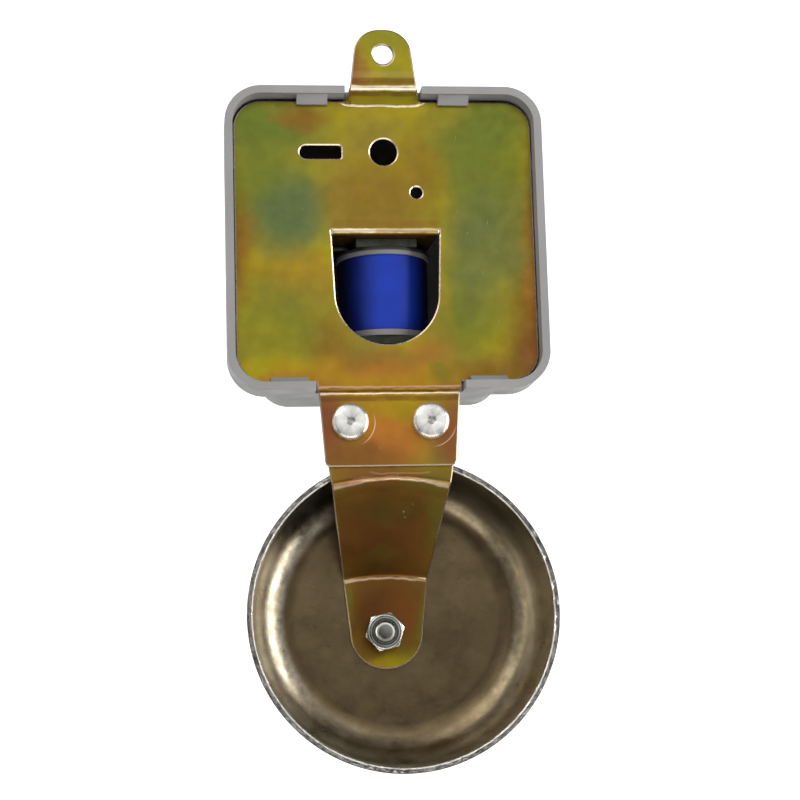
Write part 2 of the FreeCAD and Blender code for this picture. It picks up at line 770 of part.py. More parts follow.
def make_cover():
    """The moulded cover: a shallow base, a narrower front, four hooks, notches and ribs."""
    body = new_body("cover")
    base_front = -d.cover_base_depth
    face = -d.cover_depth
    front_side = d.front_width / 2
    front_low, front_high = cover_bottom + d.front_inset, cover_top - d.front_inset
    add_slab(body, "XZ", base_front, ZERO,
             rounded_at(-cover_side, cover_side, cover_bottom, cover_top, d.cover_corner))
    round_edges(body, edges_in_plane(body, "Y", base_front), d.cover_base_round)
    add_slab(body, "XZ", face, base_front / 2,
             rounded_at(-front_side, front_side, front_low, front_high, d.front_corner))
    round_edges(body, edges_in_plane(body, "Y", face), d.front_round)

    wall = d.cover_wall
    inner_low, inner_high = cover_bottom + wall, cover_top - wall
    inner_base = base_front + wall
    cut_slab(body, "XZ", inner_base, BEYOND,
             rounded_at(wall - cover_side, cover_side - wall, inner_low, inner_high,
                        d.cover_corner - wall))
    cut_slab(body, "XZ", face + wall, inner_base + BEYOND,
             rounded_at(wall - front_side, front_side - wall, front_low + wall,
                        front_high - wall, d.front_corner - wall))

    for side in (-1, 1):
        add_hook(body, d.top_hook_place * side, d.top_hook_width, inner_high,
                 plate_top - d.hook_reach, Length(1.0, "1"))
        add_hook(body, d.bottom_hook_place * side, d.bottom_hook_width, inner_low,
                 plate_bottom + d.hook_reach, Length(-1.0, "-1"))

    top_half, bottom_half = d.top_notch_width / 2, d.bottom_notch_width / 2
    cut_slab(body, "XZ", plate_front - d.notch_gap, BEYOND,
             rectangle_at(-top_half, top_half, inner_high, cover_top + BEYOND))
    cut_slab(body, "XZ", lower_front - d.notch_gap, BEYOND,
             rectangle_at(-bottom_half, bottom_half, cover_bottom - BEYOND, inner_low))

    rib_front, rib_back = inner_base - wall / 2, plate_front - d.hook_gap
    for side in (-1, 1):
        rib_foot = (cover_side - wall / 2) * side
        rib_tip = (cover_side - wall - d.rib_reach) * side
        left, right = (rib_foot, rib_tip) if side < 0 else (rib_tip, rib_foot)
        for level in (-1, 1):
            middle = cover_middle + d.rib_pitch / 2 * level
            add_slab(body, "XZ", rib_front, rib_back,
                     rectangle_at(left, right, middle - d.rib_width / 2,
                                  middle + d.rib_width / 2))
    cut_slab(body, "XY", cover_bottom - BEYOND, front_low + wall + BEYOND,
             circle_at(coil_x, coil_y, d.striker_opening / 2))
    return body


# ---------------------------------------------------------------- gong and its fastenings
def make_rivet(label, x):
    """A solid rivet through the lower tab and the bracket, with a turned head to the wall."""
    head_back = lower_back + d.rivet_head_height
    foot_front = bracket_front - d.rivet_foot_height
    head, shank, foot = d.rivet_head / 2, d.rivet_shank / 2, d.rivet_foot / 2
    dimple = d.rivet_dimple / 2
    bevel = d.rivet_head_height / 6
    return turn(label, "Y", (x, rivet_z), [
        (head_back - dimple, ZERO), (head_back - bevel / 2, dimple), (head_back, dimple * 2),
        (head_back - bevel / 2, head - bevel), (head_back - bevel * 2, head), (lower_back, head),
        (lower_back, shank), (bracket_front, shank), (bracket_front, foot),
        (foot_front + bevel, foot), (foot_front, foot - bevel * 2), (foot_front, ZERO)])


def make_bracket_rivets():
    """The two rivets, one each side of the middle."""
    return group("bracket_rivets", [make_rivet("left_rivet", -rivet_x),
                                    make_rivet("right_rivet", rivet_x)])


def make_gong():
    """The pressed steel gong: a cup open to the wall, with its screw hole off its centre."""
    throat = gong_radius - d.gong_draft
    outer_corner = d.gong_corner + d.gong_wall
    body = turn("gong", "Y", (gong_x, gong_z), [
        (gong_face, ZERO), (gong_face, throat), (gong_rim, gong_radius),
        (gong_rim, gong_radius - d.gong_wall), (gong_floor, throat - d.gong_wall),
        (gong_floor, ZERO)])
    round_edges(body, edges_in_plane(body, "Y", gong_face), outer_corner)
    round_edges(body, edges_in_plane(body, "Y", gong_floor), d.gong_corner)
    cut_slab(body, "XZ", gong_face - BEYOND, gong_floor + BEYOND,
             circle_at(stud_x, stud_z, d.screw_thread / 2 + d.hole_play))
    return body


def make_gong_screw():
    """The screw from the front through washer, gong and bracket, with a slotted round head."""
    radius, head = d.screw_thread / 2, d.screw_head / 2
    thread_end = lobe_back + d.nut_height + d.screw_end
    head_front = washer_front - d.screw_head_height
    body = turn("gong_screw", "Y", (stud_x, stud_z), [
        (thread_end, ZERO), (thread_end, radius - d.screw_chamfer),
        (thread_end - d.screw_chamfer, radius), (washer_front, radius), (washer_front, head),
        (head_front, head), (head_front, ZERO)])
    round_edges(body, edges_in_plane(body, "Y", head_front), d.screw_head_height / 2)
    half = d.screw_slot_width / 2
    cut_slab(body, "XZ", head_front - BEYOND, head_front + d.screw_slot_depth,
             rectangle_at(stud_x - head - BEYOND, stud_x + head + BEYOND, stud_z - half,
                          stud_z + half))
    return body


def make_gong_washer():
    """The plain washer under the screw's head."""
    bore, rim = d.screw_thread / 2 + d.hole_play, d.washer_diameter / 2
    return turn("gong_washer", "Y", (stud_x, stud_z), [
        (washer_back, bore), (washer_back, rim), (washer_front, rim), (washer_front, bore)])


def make_gong_nut():
    """The hexagon nut on the bracket's lobe, chamfered on both faces."""
    nut_back = lobe_back + d.nut_height
    corner = d.nut_flats / math.sqrt(3)
    ways = [-d.nut_turn + step * 60 for step in range(6)]
    hexagon = [(stud_x + corner * way.cosine(), stud_z + corner * way.sine())
               for way in ways]
    blank = new_body("nut_blank")
    add_slab(blank, "XZ", lobe_back, nut_back, lambda sketch: draw_polygon(sketch, hexagon))
    cut_slab(blank, "XZ", lobe_back - BEYOND, nut_back + BEYOND,
             circle_at(stud_x, stud_z, d.screw_thread / 2 + d.thread_gap))
    rim = corner + d.thread_gap
    waist = rim - d.nut_chamfer * math.sqrt(3)
    cone = turn("nut_chamfer_form", "Y", (stud_x, stud_z), [
        (lobe_back, ZERO), (lobe_back, waist), (lobe_back + d.nut_chamfer, rim),
        (nut_back - d.nut_chamfer, rim), (nut_back, waist), (nut_back, ZERO)])
    nut = doc.addObject("Part::Common", "gong_nut")
    nut.Base, nut.Tool = blank, cone
    nut.Label = "gong_nut"
    doc.recompute()
    return nut


# ---------------------------------------------------------------- coil
def make_coil_bobbin():
    """The moulded bobbin, with two holes in its top flange for the coil's ends."""
    bore, core = tube_hole, d.bobbin_core / 2
    body = turn("coil_bobbin", "Z", (coil_x, coil_y), [
        (bobbin_top, bore), (bobbin_top, flange_radius), (winding_top, flange_radius),
        (winding_top, core), (winding_bottom, core), (winding_bottom, flange_radius),
        (bobbin_bottom, flange_radius), (bobbin_bottom, bore)])
    for lead_y in lead_places():
        cut_slab(body, "XY", winding_top - d.close_gap, bobbin_top + BEYOND,
                 circle_at(lead_x(), lead_y, d.lead_hole / 2))
    return body


def make_ring(label, low, high, inner, outer):
    """A plain ring round the coil's axis."""
    return turn(label, "Z", (coil_x, coil_y), [
        (low, inner), (low, outer), (high, outer), (high, inner)])


def make_guide_tube():
    """The brass tube that the plunger slides in; its lower flange holds the yoke and coil up."""
    flange = d.tube_flange / 2
    return turn("guide_tube", "Z", (coil_x, coil_y), [
        (tube_bottom, tube_bore), (tube_bottom, flange), (yoke_bottom, flange),
        (yoke_bottom, tube_radius), (tube_top, tube_radius), (tube_top, tube_bore)])


def make_tube_retainer():
    """The dished spring washer pushed on the tube above the tongue."""
    bore, rim = tube_hole, d.retainer_diameter / 2
    low = tongue_top + d.retainer_dish
    return turn("tube_retainer", "Z", (coil_x, coil_y), [
        (tongue_top, rim), (tongue_top + d.retainer_sheet, rim),
        (low + d.retainer_sheet, bore), (low, bore)])


def make_tube_cap():
    """The nylon cap over the tube's top end."""
    bore, side = tube_hole, tube_hole + d.cap_wall
    skirt, top = tube_top - d.cap_skirt, tube_top + d.cap_top
    body = turn("tube_cap", "Z", (coil_x, coil_y), [
        (tube_top, ZERO), (tube_top, bore), (skirt, bore), (skirt, side), (top, side),
        (top, ZERO)])
    round_edges(body, edges_in_plane(body, "Z", top), d.cap_wall / 2)
    return body


def make_rubber_buffer():
    """The rubber pad in the tube's top end that stops the returning plunger."""
    low, side = tube_top - d.buffer_thickness, tube_bore - d.tube_gap
    return turn("rubber_buffer", "Z", (coil_x, coil_y), [
        (low, ZERO), (low, side), (tube_top, side), (tube_top, ZERO)])


def make_guide_bush():
    """The nylon bush in the tube's lower end that guides the rod and seats the spring."""
    return make_ring("guide_bush", tube_bottom, bush_top, rod_radius + d.rod_play,
                     tube_bore - d.press_gap)


# ---------------------------------------------------------------- striker
def make_plunger():
    """The iron plunger, drilled below for its rod."""
    chamfer, bore = d.plunger_chamfer, rod_radius + d.press_gap
    socket = plunger_bottom + d.rod_socket
    return turn("plunger", "Z", (coil_x, coil_y), [
        (plunger_bottom, bore), (plunger_bottom, plunger_radius - chamfer),
        (plunger_bottom + chamfer, plunger_radius), (plunger_top - chamfer, plunger_radius),
        (plunger_top, plunger_radius - chamfer), (plunger_top, ZERO), (socket, ZERO),
        (socket, bore)])


def make_striker_rod():
    """The brass rod from the plunger down through the cover."""
    top = plunger_bottom + d.rod_socket
    return turn("striker_rod", "Z", (coil_x, coil_y), [
        (rod_bottom, ZERO), (rod_bottom, rod_radius), (top, rod_radius), (top, ZERO)])


def make_striker_tip():
    """The nylon tip that strikes the gong."""
    radius, bore = d.tip_diameter / 2, rod_radius + d.press_gap
    top = tip_bottom + d.tip_length
    body = turn("striker_tip", "Z", (coil_x, coil_y), [
        (tip_bottom, ZERO), (tip_bottom, radius), (top - d.tip_chamfer, radius),
        (top, radius - d.tip_chamfer), (top, bore), (rod_bottom, bore), (rod_bottom, ZERO)])
    round_edges(body, edges_in_plane(body, "Z", tip_bottom), d.tip_round)
    return body


def make_return_spring():
    """The compression spring between the bush and the plunger."""
    wire = d.spring_wire / 2
    start = bush_top + wire + d.press_gap
    height = plunger_bottom - bush_top - d.spring_wire - d.press_gap * 2
    mean = d.spring_diameter / 2
    helix = doc.addObject("Part::Helix", "spring_path")
    helix.LocalCoord = 0
    for name, length in (("Pitch", height / d.spring_turns), ("Height", height),
                         ("Radius", mean)):
        setattr(helix, name, length.value)
        helix.setExpression(name, length.text)
    section = doc.addObject("Part::Circle", "spring_section")
    section.Radius = wire.value
    section.setExpression("Radius", wire.text)
    section.Placement = FreeCAD.Placement(
        FreeCAD.Vector(mean.value, 0, 0), FreeCAD.Rotation(FreeCAD.Vector(1, 0, 0), 90))
    section.setExpression("Placement.Base.x", mean.text)
    spring = doc.addObject("Part::Sweep", "return_spring")
    doc.recompute()
    spring.Sections = [section]
    spring.Spine = (helix, ["Edge{}".format(i + 1) for i in range(len(helix.Shape.Edges))])
    spring.Solid = True
    spring.Frenet = True
    spring.Label = "return_spring"
    for axis, length in (("x", coil_x), ("y", coil_y), ("z", start)):
        spring.setExpression("Placement.Base." + axis, length.text)
    doc.recompute()
    return spring


# ---------------------------------------------------------------- terminals
def lead_places():
    """The y of the two coil leads, in line with the two poles."""
    return [coil_y - d.pole_pitch / 2, coil_y + d.pole_pitch / 2]


def lead_x():
    """Where the leads rise out of the coil, just clear of the yoke."""
    return coil_x + d.yoke_width / 2 + d.lead_hole / 2 + lead_radius


def make_terminal_block():
    """The moulded block on the tongue, bored for two poles, their screws and its pin."""
    body = new_body("terminal_block")
    half = d.block_length / 2
    add_slab(body, "XY", tongue_top, block_top,
             rounded_at(block_inner, block_outer, coil_y - half, coil_y + half, d.block_round))
    for y in lead_places():
        cut_slab(body, "YZ", block_inner - BEYOND, block_outer + BEYOND,
                 circle_at(y, pole_z, pole_radius + d.close_gap))
        cut_slab(body, "XY", pole_z, block_top + BEYOND,
                 circle_at(block_middle, y, d.clamp_well / 2))
    cut_slab(body, "XY", tongue_top - BEYOND, block_top + BEYOND,
             circle_at(block_middle, coil_y, d.pin_shank / 2 + d.close_gap))
    return body


def make_terminal_pole(label, y):
    """A brass pole with a hole along it for the wires and a tapped hole for the clamp screw."""
    half = d.pole_length / 2
    body = turn(label, "X", (y, pole_z), [
        (block_middle - half, d.wire_hole / 2), (block_middle - half, pole_radius),
        (block_middle + half, pole_radius), (block_middle + half, d.wire_hole / 2)])
    cut_slab(body, "XY", pole_z, pole_z + pole_radius + BEYOND,
             circle_at(block_middle, y, d.clamp_thread / 2 + d.thread_gap))
    return body


def make_clamp_screw(label, y):
    """A small slotted screw that clamps the wires in its pole."""
    tip = pole_z + lead_radius + d.close_gap
    radius, head = d.clamp_thread / 2, d.clamp_head / 2
    top = clamp_seat + d.clamp_head_height
    body = turn(label, "Z", (block_middle, y), [
        (tip, ZERO), (tip, radius), (clamp_seat, radius), (clamp_seat, head), (top, head),
        (top, ZERO)])
    half = d.clamp_slot / 2
    cut_slab(body, "XY", top - d.clamp_head_height / 2, top + BEYOND,
             rectangle_at(block_middle - head - BEYOND, block_middle + head + BEYOND,
                          y - half, y + half))
    return body


def make_terminal_pin():
    """The rivet that holds the block down on the tongue."""
    shank, head = d.pin_shank / 2, d.pin_head / 2
    low, high = window_top - d.pin_head_height, block_top + d.pin_head_height
    return turn("terminal_pin", "Z", (block_middle, coil_y), [
        (low, ZERO), (low, head), (window_top, head), (window_top, shank), (block_top, shank),
        (block_top, head), (high, head), (high, ZERO)])


def make_coil_lead(label, y):
    """A sleeved coil end: up through the flange, out past tongue and block, into its pole."""
    furthest = max(d.window_top_width / 2, block_outer, key=lambda length: length.value)
    out_x = furthest + d.lead_clear
    run_z = (yoke_top + bobbin_top) / 2
    corners = [(lead_x(), winding_top), (lead_x(), run_z), (out_x, run_z), (out_x, pole_z),
               (block_outer - d.lead_entry, pole_z)]
    points = [FreeCAD.Vector(x.value, y.value, z.value) for x, z in corners]
    bend = d.lead_bend.value
    edges = []
    start = points[0]
    for before, corner, after in zip(points, points[1:], points[2:]):
        back_along = (before - corner).normalize()
        on_along = (after - corner).normalize()
        first = corner + back_along * bend
        last = corner + on_along * bend
        middle = corner + (back_along + on_along) * (bend * (1 - math.sqrt(0.5)))
        edges.append(Part.LineSegment(start, first).toShape())
        edges.append(Part.Arc(first, middle, last).toShape())
        start = last
    edges.append(Part.LineSegment(start, points[-1]).toShape())
    path = Part.Wire(edges)
    ring = Part.Circle(points[0], FreeCAD.Vector(0, 0, 1), lead_radius.value)
    solid = path.makePipeShell([Part.Wire([ring.toShape()])], True, True)
    wanted = math.pi * lead_radius.value ** 2 * path.Length
    if abs(solid.Volume - wanted) > wanted / 100:
        raise RuntimeError("the lead {} has the wrong volume".format(label))
    lead = doc.addObject("Part::Feature", label)
    lead.Shape = solid
    lead.Label = label
    return lead


def make_all():
    """Every sub-part, from the wall forwards."""
    front_lead, back_lead = lead_places()
    return [
        make_base_plate(),
        make_cover(),
        make_gong_bracket(),
        make_bracket_rivets(),
        make_gong(),
        make_gong_screw(),
        make_gong_washer(),
        make_gong_nut(),
        make_yoke(),
        make_coil_bobbin(),
        make_ring("coil_winding", winding_bottom, winding_top, d.bobbin_core / 2,
                  winding_radius),
        make_ring("coil_wrap", winding_bottom, winding_top, winding_radius, wrap_radius),
        make_guide_tube(),
        make_tube_retainer(),
        make_tube_cap(),
        make_rubber_buffer(),
        make_guide_bush(),
        make_plunger(),
        make_striker_rod(),
        make_striker_tip(),
        make_return_spring(),
        make_terminal_block(),
        group("terminal_poles", [make_terminal_pole("front_pole", front_lead),
                                 make_terminal_pole("back_pole", back_lead)]),
        group("clamp_screws", [make_clamp_screw("front_clamp", front_lead),
                               make_clamp_screw("back_clamp", back_lead)]),
        make_terminal_pin(),
        make_coil_lead("coil_start_lead", front_lead),
        make_coil_lead("coil_end_lead", back_lead),
    ]


def check(parts):
    """Stop if anything in the document failed or a sub-part has no sound shape."""
    for thing in doc.Objects:
        if "Invalid" in thing.State or "Error" in thing.State:
            raise RuntimeError("{} failed: {}".format(thing.Label, thing.State))
    for part in parts:
        if part.Shape.isNull() or not part.Shape.isValid() or not part.Shape.Solids:
            raise RuntimeError("{} has no sound shape".format(part.Label))


def write(parts):
    """Write each sub-part to its own STEP file."""
    os.makedirs("parts", exist_ok=True)
    for part in parts:
        part.Shape.exportStep("parts/{}.step".format(part.Label))
        print("{:18s} {:2d} solid(s) {:10.1f} mm3".format(
            part.Label, len(part.Shape.Solids), part.Shape.Volume))


sub_parts = make_all()
doc.recompute()
check(sub_parts)
write(sub_parts)
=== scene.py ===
"""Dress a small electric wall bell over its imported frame, and light it on a plain stage."""

import math

import bmesh
import bpy
import numpy as np
from bpy.props import FloatProperty, FloatVectorProperty, PointerProperty
from mathutils import Matrix, Vector, noise
from mathutils.geometry import delaunay_2d_cdt


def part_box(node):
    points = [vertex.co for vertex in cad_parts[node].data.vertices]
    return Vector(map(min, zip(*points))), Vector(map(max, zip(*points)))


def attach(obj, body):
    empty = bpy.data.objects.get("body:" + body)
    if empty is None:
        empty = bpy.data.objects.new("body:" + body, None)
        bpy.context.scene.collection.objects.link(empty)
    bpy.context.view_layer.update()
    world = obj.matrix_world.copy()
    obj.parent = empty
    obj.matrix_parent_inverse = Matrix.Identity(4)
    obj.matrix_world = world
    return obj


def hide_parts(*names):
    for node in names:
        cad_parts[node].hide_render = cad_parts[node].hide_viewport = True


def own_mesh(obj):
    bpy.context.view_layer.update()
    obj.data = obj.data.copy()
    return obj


bl_info = {
    "name": "Wall bell",
    "version": (1, 0, 0),
    "blender": (4, 5, 0),
    "location": "View3D > Sidebar > Wall bell",
    "description": "Builds an electric wall bell with one gong over its packed frame",
    "category": "Object",
}

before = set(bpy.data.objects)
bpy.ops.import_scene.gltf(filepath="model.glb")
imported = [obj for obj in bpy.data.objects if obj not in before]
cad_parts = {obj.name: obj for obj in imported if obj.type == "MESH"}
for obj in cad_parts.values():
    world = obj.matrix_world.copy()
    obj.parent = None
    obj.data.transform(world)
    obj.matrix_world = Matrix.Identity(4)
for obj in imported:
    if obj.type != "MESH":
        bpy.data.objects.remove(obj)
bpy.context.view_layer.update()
MM = 0.001


def mm_box(node):
    """The lowest and highest corner of a node at rest, in millimetres."""
    low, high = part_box(node)
    return Vector(low) / MM, Vector(high) / MM


# ---------------------------------------------------------------- settings
def length(name, description, default):
    """A length property, in metres."""
    return FloatProperty(name=name, description=description, default=default, min=0.0,
                         precision=5, subtype="DISTANCE", unit="LENGTH")


def tint(name, description, default):
    """A linear colour property."""
    return FloatVectorProperty(name=name, description=description, default=default, size=3,
                               min=0.0, max=1.0, subtype="COLOR")


def share(name, description, default, most=1.0):
    """A property without a unit."""
    return FloatProperty(name=name, description=description, default=default, min=0.0,
                         max=most, subtype="FACTOR")


def power(name, description, default):
    """A lamp's power, in watts."""
    return FloatProperty(name=name, description=description, default=default, min=0.0,
                         unit="POWER")


class BellSizes(bpy.types.PropertyGroup):
    """Sizes of the dressing that the frame leaves open."""

    sheet_rim: length("Sheet rim", "Width of the drawn-in rim along sheared edges", 0.00029)
    sheet_roll: length("Sheet roll", "How far that rim falls away", 0.00018)
    sheet_pitch: length("Sheet pitch", "Spacing of the points inside a sheet", 0.0011)
    sheet_wave: length("Sheet unevenness", "Height of the waves left in flat sheet", 0.00004)
    moulded_edge: length("Moulded edge", "Rounding of the moulded edges", 0.00022)
    metal_edge: length("Metal edge", "Rounding of turned and bent metal edges", 0.00015)
    rim_burr: length("Rim burr", "Unevenness of the gong's sheared rim", 0.00016)


class BellColours(bpy.types.PropertyGroup):
    """Colours of the finishes."""

    olive: tint("Olive", "Passivation, the common tint", (0.235, 0.182, 0.022))
    leaf: tint("Leaf", "Passivation, green patches", (0.125, 0.155, 0.021))
    slate: tint("Slate", "Passivation, blue-green patches", (0.10, 0.135, 0.045))
    gold: tint("Gold", "Passivation, yellow patches", (0.34, 0.272, 0.010))
    amber: tint("Amber", "Passivation, orange patches", (0.37, 0.20, 0.013))
    ember: tint("Ember", "Passivation, orange-red patches", (0.42, 0.135, 0.026))
    rust: tint("Rust", "Passivation, brown patches", (0.20, 0.095, 0.014))
    brick: tint("Brick", "Passivation, pink-brown patches", (0.225, 0.078, 0.028))
    # Dark red-brown used as painted shade: bands at the bends, the bracket's down-facing slope and
    # its lobe deep inside the gong.
    umber_shade: tint("Umber", "Passivation, dark red-brown patches", (0.12, 0.045, 0.009))
    # Bright tone: bare metal at scratches and specks, and painted highlight at the bends, on the
    # pressed arcs and on the rivet rims.
    bared_and_highlight: tint("Bared", "Passivation stretched thin at the bends", (0.95, 0.80, 0.58))
    # Painted pink highlight along the bends.
    pink_highlight: tint("Blush", "Passivation worn to a pink sheen", (0.62, 0.36, 0.22))
    cut_edge: tint("Cut edge", "Sheared edges of the sheet", (0.88, 0.70, 0.51))
    gong_steel: tint("Gong steel", "Bare pressed steel of the gong", (0.135, 0.098, 0.052))
    cover_grey: tint("Cover grey", "Moulded cover", (0.275, 0.270, 0.267))
    wrap_blue: tint("Wrap blue", "Film round the coil", (0.006, 0.034, 0.36))
    # Painted shade on the sides of the coil film.
    wrap_side_shade: tint("Wrap navy", "Darker sides of that film", (0.002, 0.005, 0.05))
    bobbin: tint("Bobbin", "Moulded bobbin", (0.19, 0.18, 0.178))
    # Painted shadow of the tongue over the bobbin's upper edge.
    bobbin_shadow: tint("Bobbin top", "Sooty upper edge of the bobbin", (0.016, 0.020, 0.013))
    rivet: tint("Rivet", "Turned rivet heads", (0.80, 0.79, 0.75))
    # Painted highlight on the edges and rings of the fastenings.
    painted_glint: tint("Glint", "Fresh bright edges of the fastenings", (0.95, 0.94, 0.90))
    zinc: tint("Zinc", "Plated screws and nut", (0.21, 0.215, 0.185))
    # Near black: painted shade under the tongue.
    yoke_steel: tint("Yoke steel", "Yoke of the coil", (0.034, 0.037, 0.027))
    brass: tint("Brass", "Tube, rod and poles", (0.72, 0.50, 0.20))
    copper: tint("Copper", "Coil winding", (0.56, 0.22, 0.09))
    nylon: tint("Nylon", "Cap, bush and striker tip", (0.70, 0.68, 0.60))
    black: tint("Black", "Terminal block and buffer", (0.02, 0.02, 0.022))
    sleeve: tint("Sleeve", "Sleeves of the coil leads", (0.03, 0.028, 0.024))


class BellStage(bpy.types.PropertyGroup):
    """Stage and lamps."""

    floor_drop: length("Floor drop", "Floor below the hanging hole", 1.3)
    backdrop: length("Backdrop", "Distance of the backdrop in front of the bell", 1.1)
    room: share("Room light", "Brightness of the room around the bell", 0.22, 2.0)
    front_power: power("Front lamp", "Large soft lamp that faces the plate", 4.0)
    low_power: power("Low lamp", "Soft lamp that faces the plate from below", 6.0)
    key_power: power("Key lamp", "Lamp above on the slot's side", 5.0)
    bright_side: power("Bright side lamp", "Upright lamp away from the slot", 5.0)
    dim_side: power("Dim side lamp", "Upright lamp on the slot's side", 1.1)


class BellSettings(bpy.types.PropertyGroup):
    """All that a user would change."""

    sizes: PointerProperty(type=BellSizes)
    colours: PointerProperty(type=BellColours)
    stage: PointerProperty(type=BellStage)


# ---------------------------------------------------------------- node trees
class Finish:
    """A material while its nodes are put together."""

    def __init__(self, name):
        self.material = bpy.data.materials.new(name)
        self.material.use_nodes = True
        self.tree = self.material.node_tree
        self.shader = self.tree.nodes["Principled BSDF"]
        self.place = self.add("ShaderNodeTexCoord").outputs["Object"]

    def add(self, kind, inputs=(), **settings):
        """A new node with its settings, and inputs given as (socket, value or other socket)."""
        node = self.tree.nodes.new(kind)
        for name, value in settings.items():
            setattr(node, name, value)
        for socket, value in inputs:
            self.feed(node.inputs[socket], value)
        return node

    def feed(self, socket, value):
        """Link a socket to another, or set its value."""
        if isinstance(value, bpy.types.NodeSocket):
            self.tree.links.new(value, socket)
        elif socket.type == "RGBA" and len(value) == 3:
            socket.default_value = (*value, 1.0)
        else:
            socket.default_value = value

    def stretched(self, factors):
        """The object's coordinates scaled along each axis."""
        return self.add("ShaderNodeVectorMath", [(0, self.place), (1, factors)],
                        operation="MULTIPLY").outputs[0]

    def cloud(self, size, detail=3.0, rough=0.55, place=None):
        """Smooth noise whose blotches are about size mm across."""
        place = place or self.place
        return self.add("ShaderNodeTexNoise", [
            ("Vector", place), ("Scale", 1 / (size * MM)), ("Detail", detail),
            ("Roughness", rough)]).outputs[0]

    def warped(self, size, shift):
        """The object's coordinates pushed about by up to shift mm in blotches of size mm."""
        colour = self.add("ShaderNodeTexNoise", [
            ("Vector", self.place), ("Scale", 1 / (size * MM)), ("Detail", 3.0)]).outputs[1]
        push = self.add("ShaderNodeVectorMath", [(0, colour), (1, (0.5, 0.5, 0.5))],
                        operation="SUBTRACT").outputs[0]
        return self.add("ShaderNodeVectorMath", [
            (0, push), (1, (shift * 2 * MM,) * 3), (2, self.place)],
            operation="MULTIPLY_ADD").outputs[0]

    def level(self, value, low, high, start=0.0, end=1.0):
        """Value taken smoothly from low..high to start..end and held there."""
        return self.add("ShaderNodeMapRange", [
            ("Value", value), ("From Min", low), ("From Max", high), ("To Min", start),
            ("To Max", end)], interpolation_type="SMOOTHSTEP").outputs[0]

    def mixed(self, factor, under, over, kind="MIX"):
        """Two colours mixed by a factor."""
        return self.add("ShaderNodeMix", [(0, factor), (6, under), (7, over)],
                        data_type="RGBA", blend_type=kind).outputs[2]

    def maths(self, kind, first, second=0.0):
        """One sum on two numbers."""
        return self.add("ShaderNodeMath", [(0, first), (1, second)], operation=kind).outputs[0]

    def split(self, place):
        """The three coordinates of a place."""
        return self.add("ShaderNodeSeparateXYZ", [(0, place)]).outputs

    def spot(self, place, across, up, wide, high, soft=0.75):
        """1 in the middle of an oval on the wall plane, fading to 0 at its edge."""
        away = self.add("ShaderNodeVectorMath", [
            (0, place), (1, (across * MM, 0.0, up * MM))], operation="SUBTRACT").outputs[0]
        scaled = self.add("ShaderNodeVectorMath", [
            (0, away), (1, (1 / (wide * MM), 0.0, 1 / (high * MM)))],
            operation="MULTIPLY").outputs[0]
        span = self.add("ShaderNodeVectorMath", [(0, scaled)], operation="LENGTH").outputs[1]
        return self.level(span, 1.0, 1.0 - soft)

    def band(self, value, middle, half, soft=0.5):
        """1 within half of the middle (mm), fading to 0 over soft times half outside it."""
        off = self.maths("ABSOLUTE", self.maths("SUBTRACT", value, middle * MM))
        return self.level(off, half * (1 + soft) * MM, half * (1 - soft) * MM)

    def crease(self, place, up, half, reach, rise=0.0, swell=0.0, centre=0.0):
        """A line across a bend: half mm thick, swell thicker at its ends. It rises in an arc in
        the middle, or below 0 curls up at both ends."""
        across, _, height = self.split(place)
        off = self.maths("ABSOLUTE", self.maths("SUBTRACT", across, centre * MM))
        part = self.maths("DIVIDE", off, reach * MM)
        square = self.maths("POWER", part, 2.0)
        if rise < 0:
            lift = self.maths("MULTIPLY", self.maths("POWER", part, 9.0), -rise * MM)
        else:
            lift = self.maths("MULTIPLY", self.maths("SUBTRACT", 1.0, square), rise * MM)
        line = self.maths("SUBTRACT", self.maths("SUBTRACT", height, up * MM), lift)
        wide = self.maths("ADD", half * MM, self.maths("MULTIPLY", square, swell * MM))
        near = self.maths("DIVIDE", self.maths("ABSOLUTE", line), wide)
        return self.maths("MULTIPLY", self.level(near, 1.4, 0.5), self.level(square, 1.05, 0.8))

    def radial(self, centre, kept):
        """The way straight out from an axis through centre (mm); kept has 0 along the axis."""
        shifted = self.add("ShaderNodeVectorMath", [
            (0, self.place), (1, tuple(c * MM for c in centre))],
            operation="SUBTRACT").outputs[0]
        return self.add("ShaderNodeVectorMath", [(0, shifted), (1, kept)],
                        operation="MULTIPLY").outputs[0]

    def away_from(self, centre, kept):
        """Distance in metres from an axis through centre (mm); kept has 0 along the axis."""
        return self.add("ShaderNodeVectorMath", [(0, self.radial(centre, kept))],
                        operation="LENGTH").outputs[1]

    def bumped(self, height, depth, below=None):
        """A normal raised by a height of up to depth mm."""
        inputs = [("Strength", 1.0), ("Distance", depth * MM), ("Height", height)]
        if below is not None:
            inputs.append(("Normal", below))
        return self.add("ShaderNodeBump", inputs).outputs[0]

    def surface(self, colour, roughness, metallic=0.0, normal=None, specular=0.5):
        """Feed the surface shader."""
        self.feed(self.shader.inputs["Base Color"], colour)
        self.feed(self.shader.inputs["Roughness"], roughness)
        self.feed(self.shader.inputs["Metallic"], metallic)
        self.shader.inputs["Specular IOR Level"].default_value = specular
        if normal is not None:
            self.feed(self.shader.inputs["Normal"], normal)
        return self.material


def scaled(colour, factor):
    """A colour made lighter or darker."""
    return tuple(min(1.0, c * factor) for c in colour)


def mottled(name, colour, spread=0.12, size=3.0, roughness=(0.3, 0.45), metallic=0.0,
            grain=0.3, depth=0.01, specular=0.5):
    """A finish with a little unevenness of tone, gloss and surface."""
    made = Finish(name)
    tone = made.cloud(size, 4.0, 0.6)
    base = made.mixed(made.level(tone, 0.3, 0.7), scaled(colour, 1 - spread),
                      scaled(colour, 1 + spread))
    gloss = made.level(made.cloud(size * 0.6, 3.0), 0.3, 0.7, roughness[0], roughness[1])
    normal = made.bumped(made.cloud(grain, 3.0, 0.6), depth)
    return made.surface(base, gloss, metallic, normal, specular)


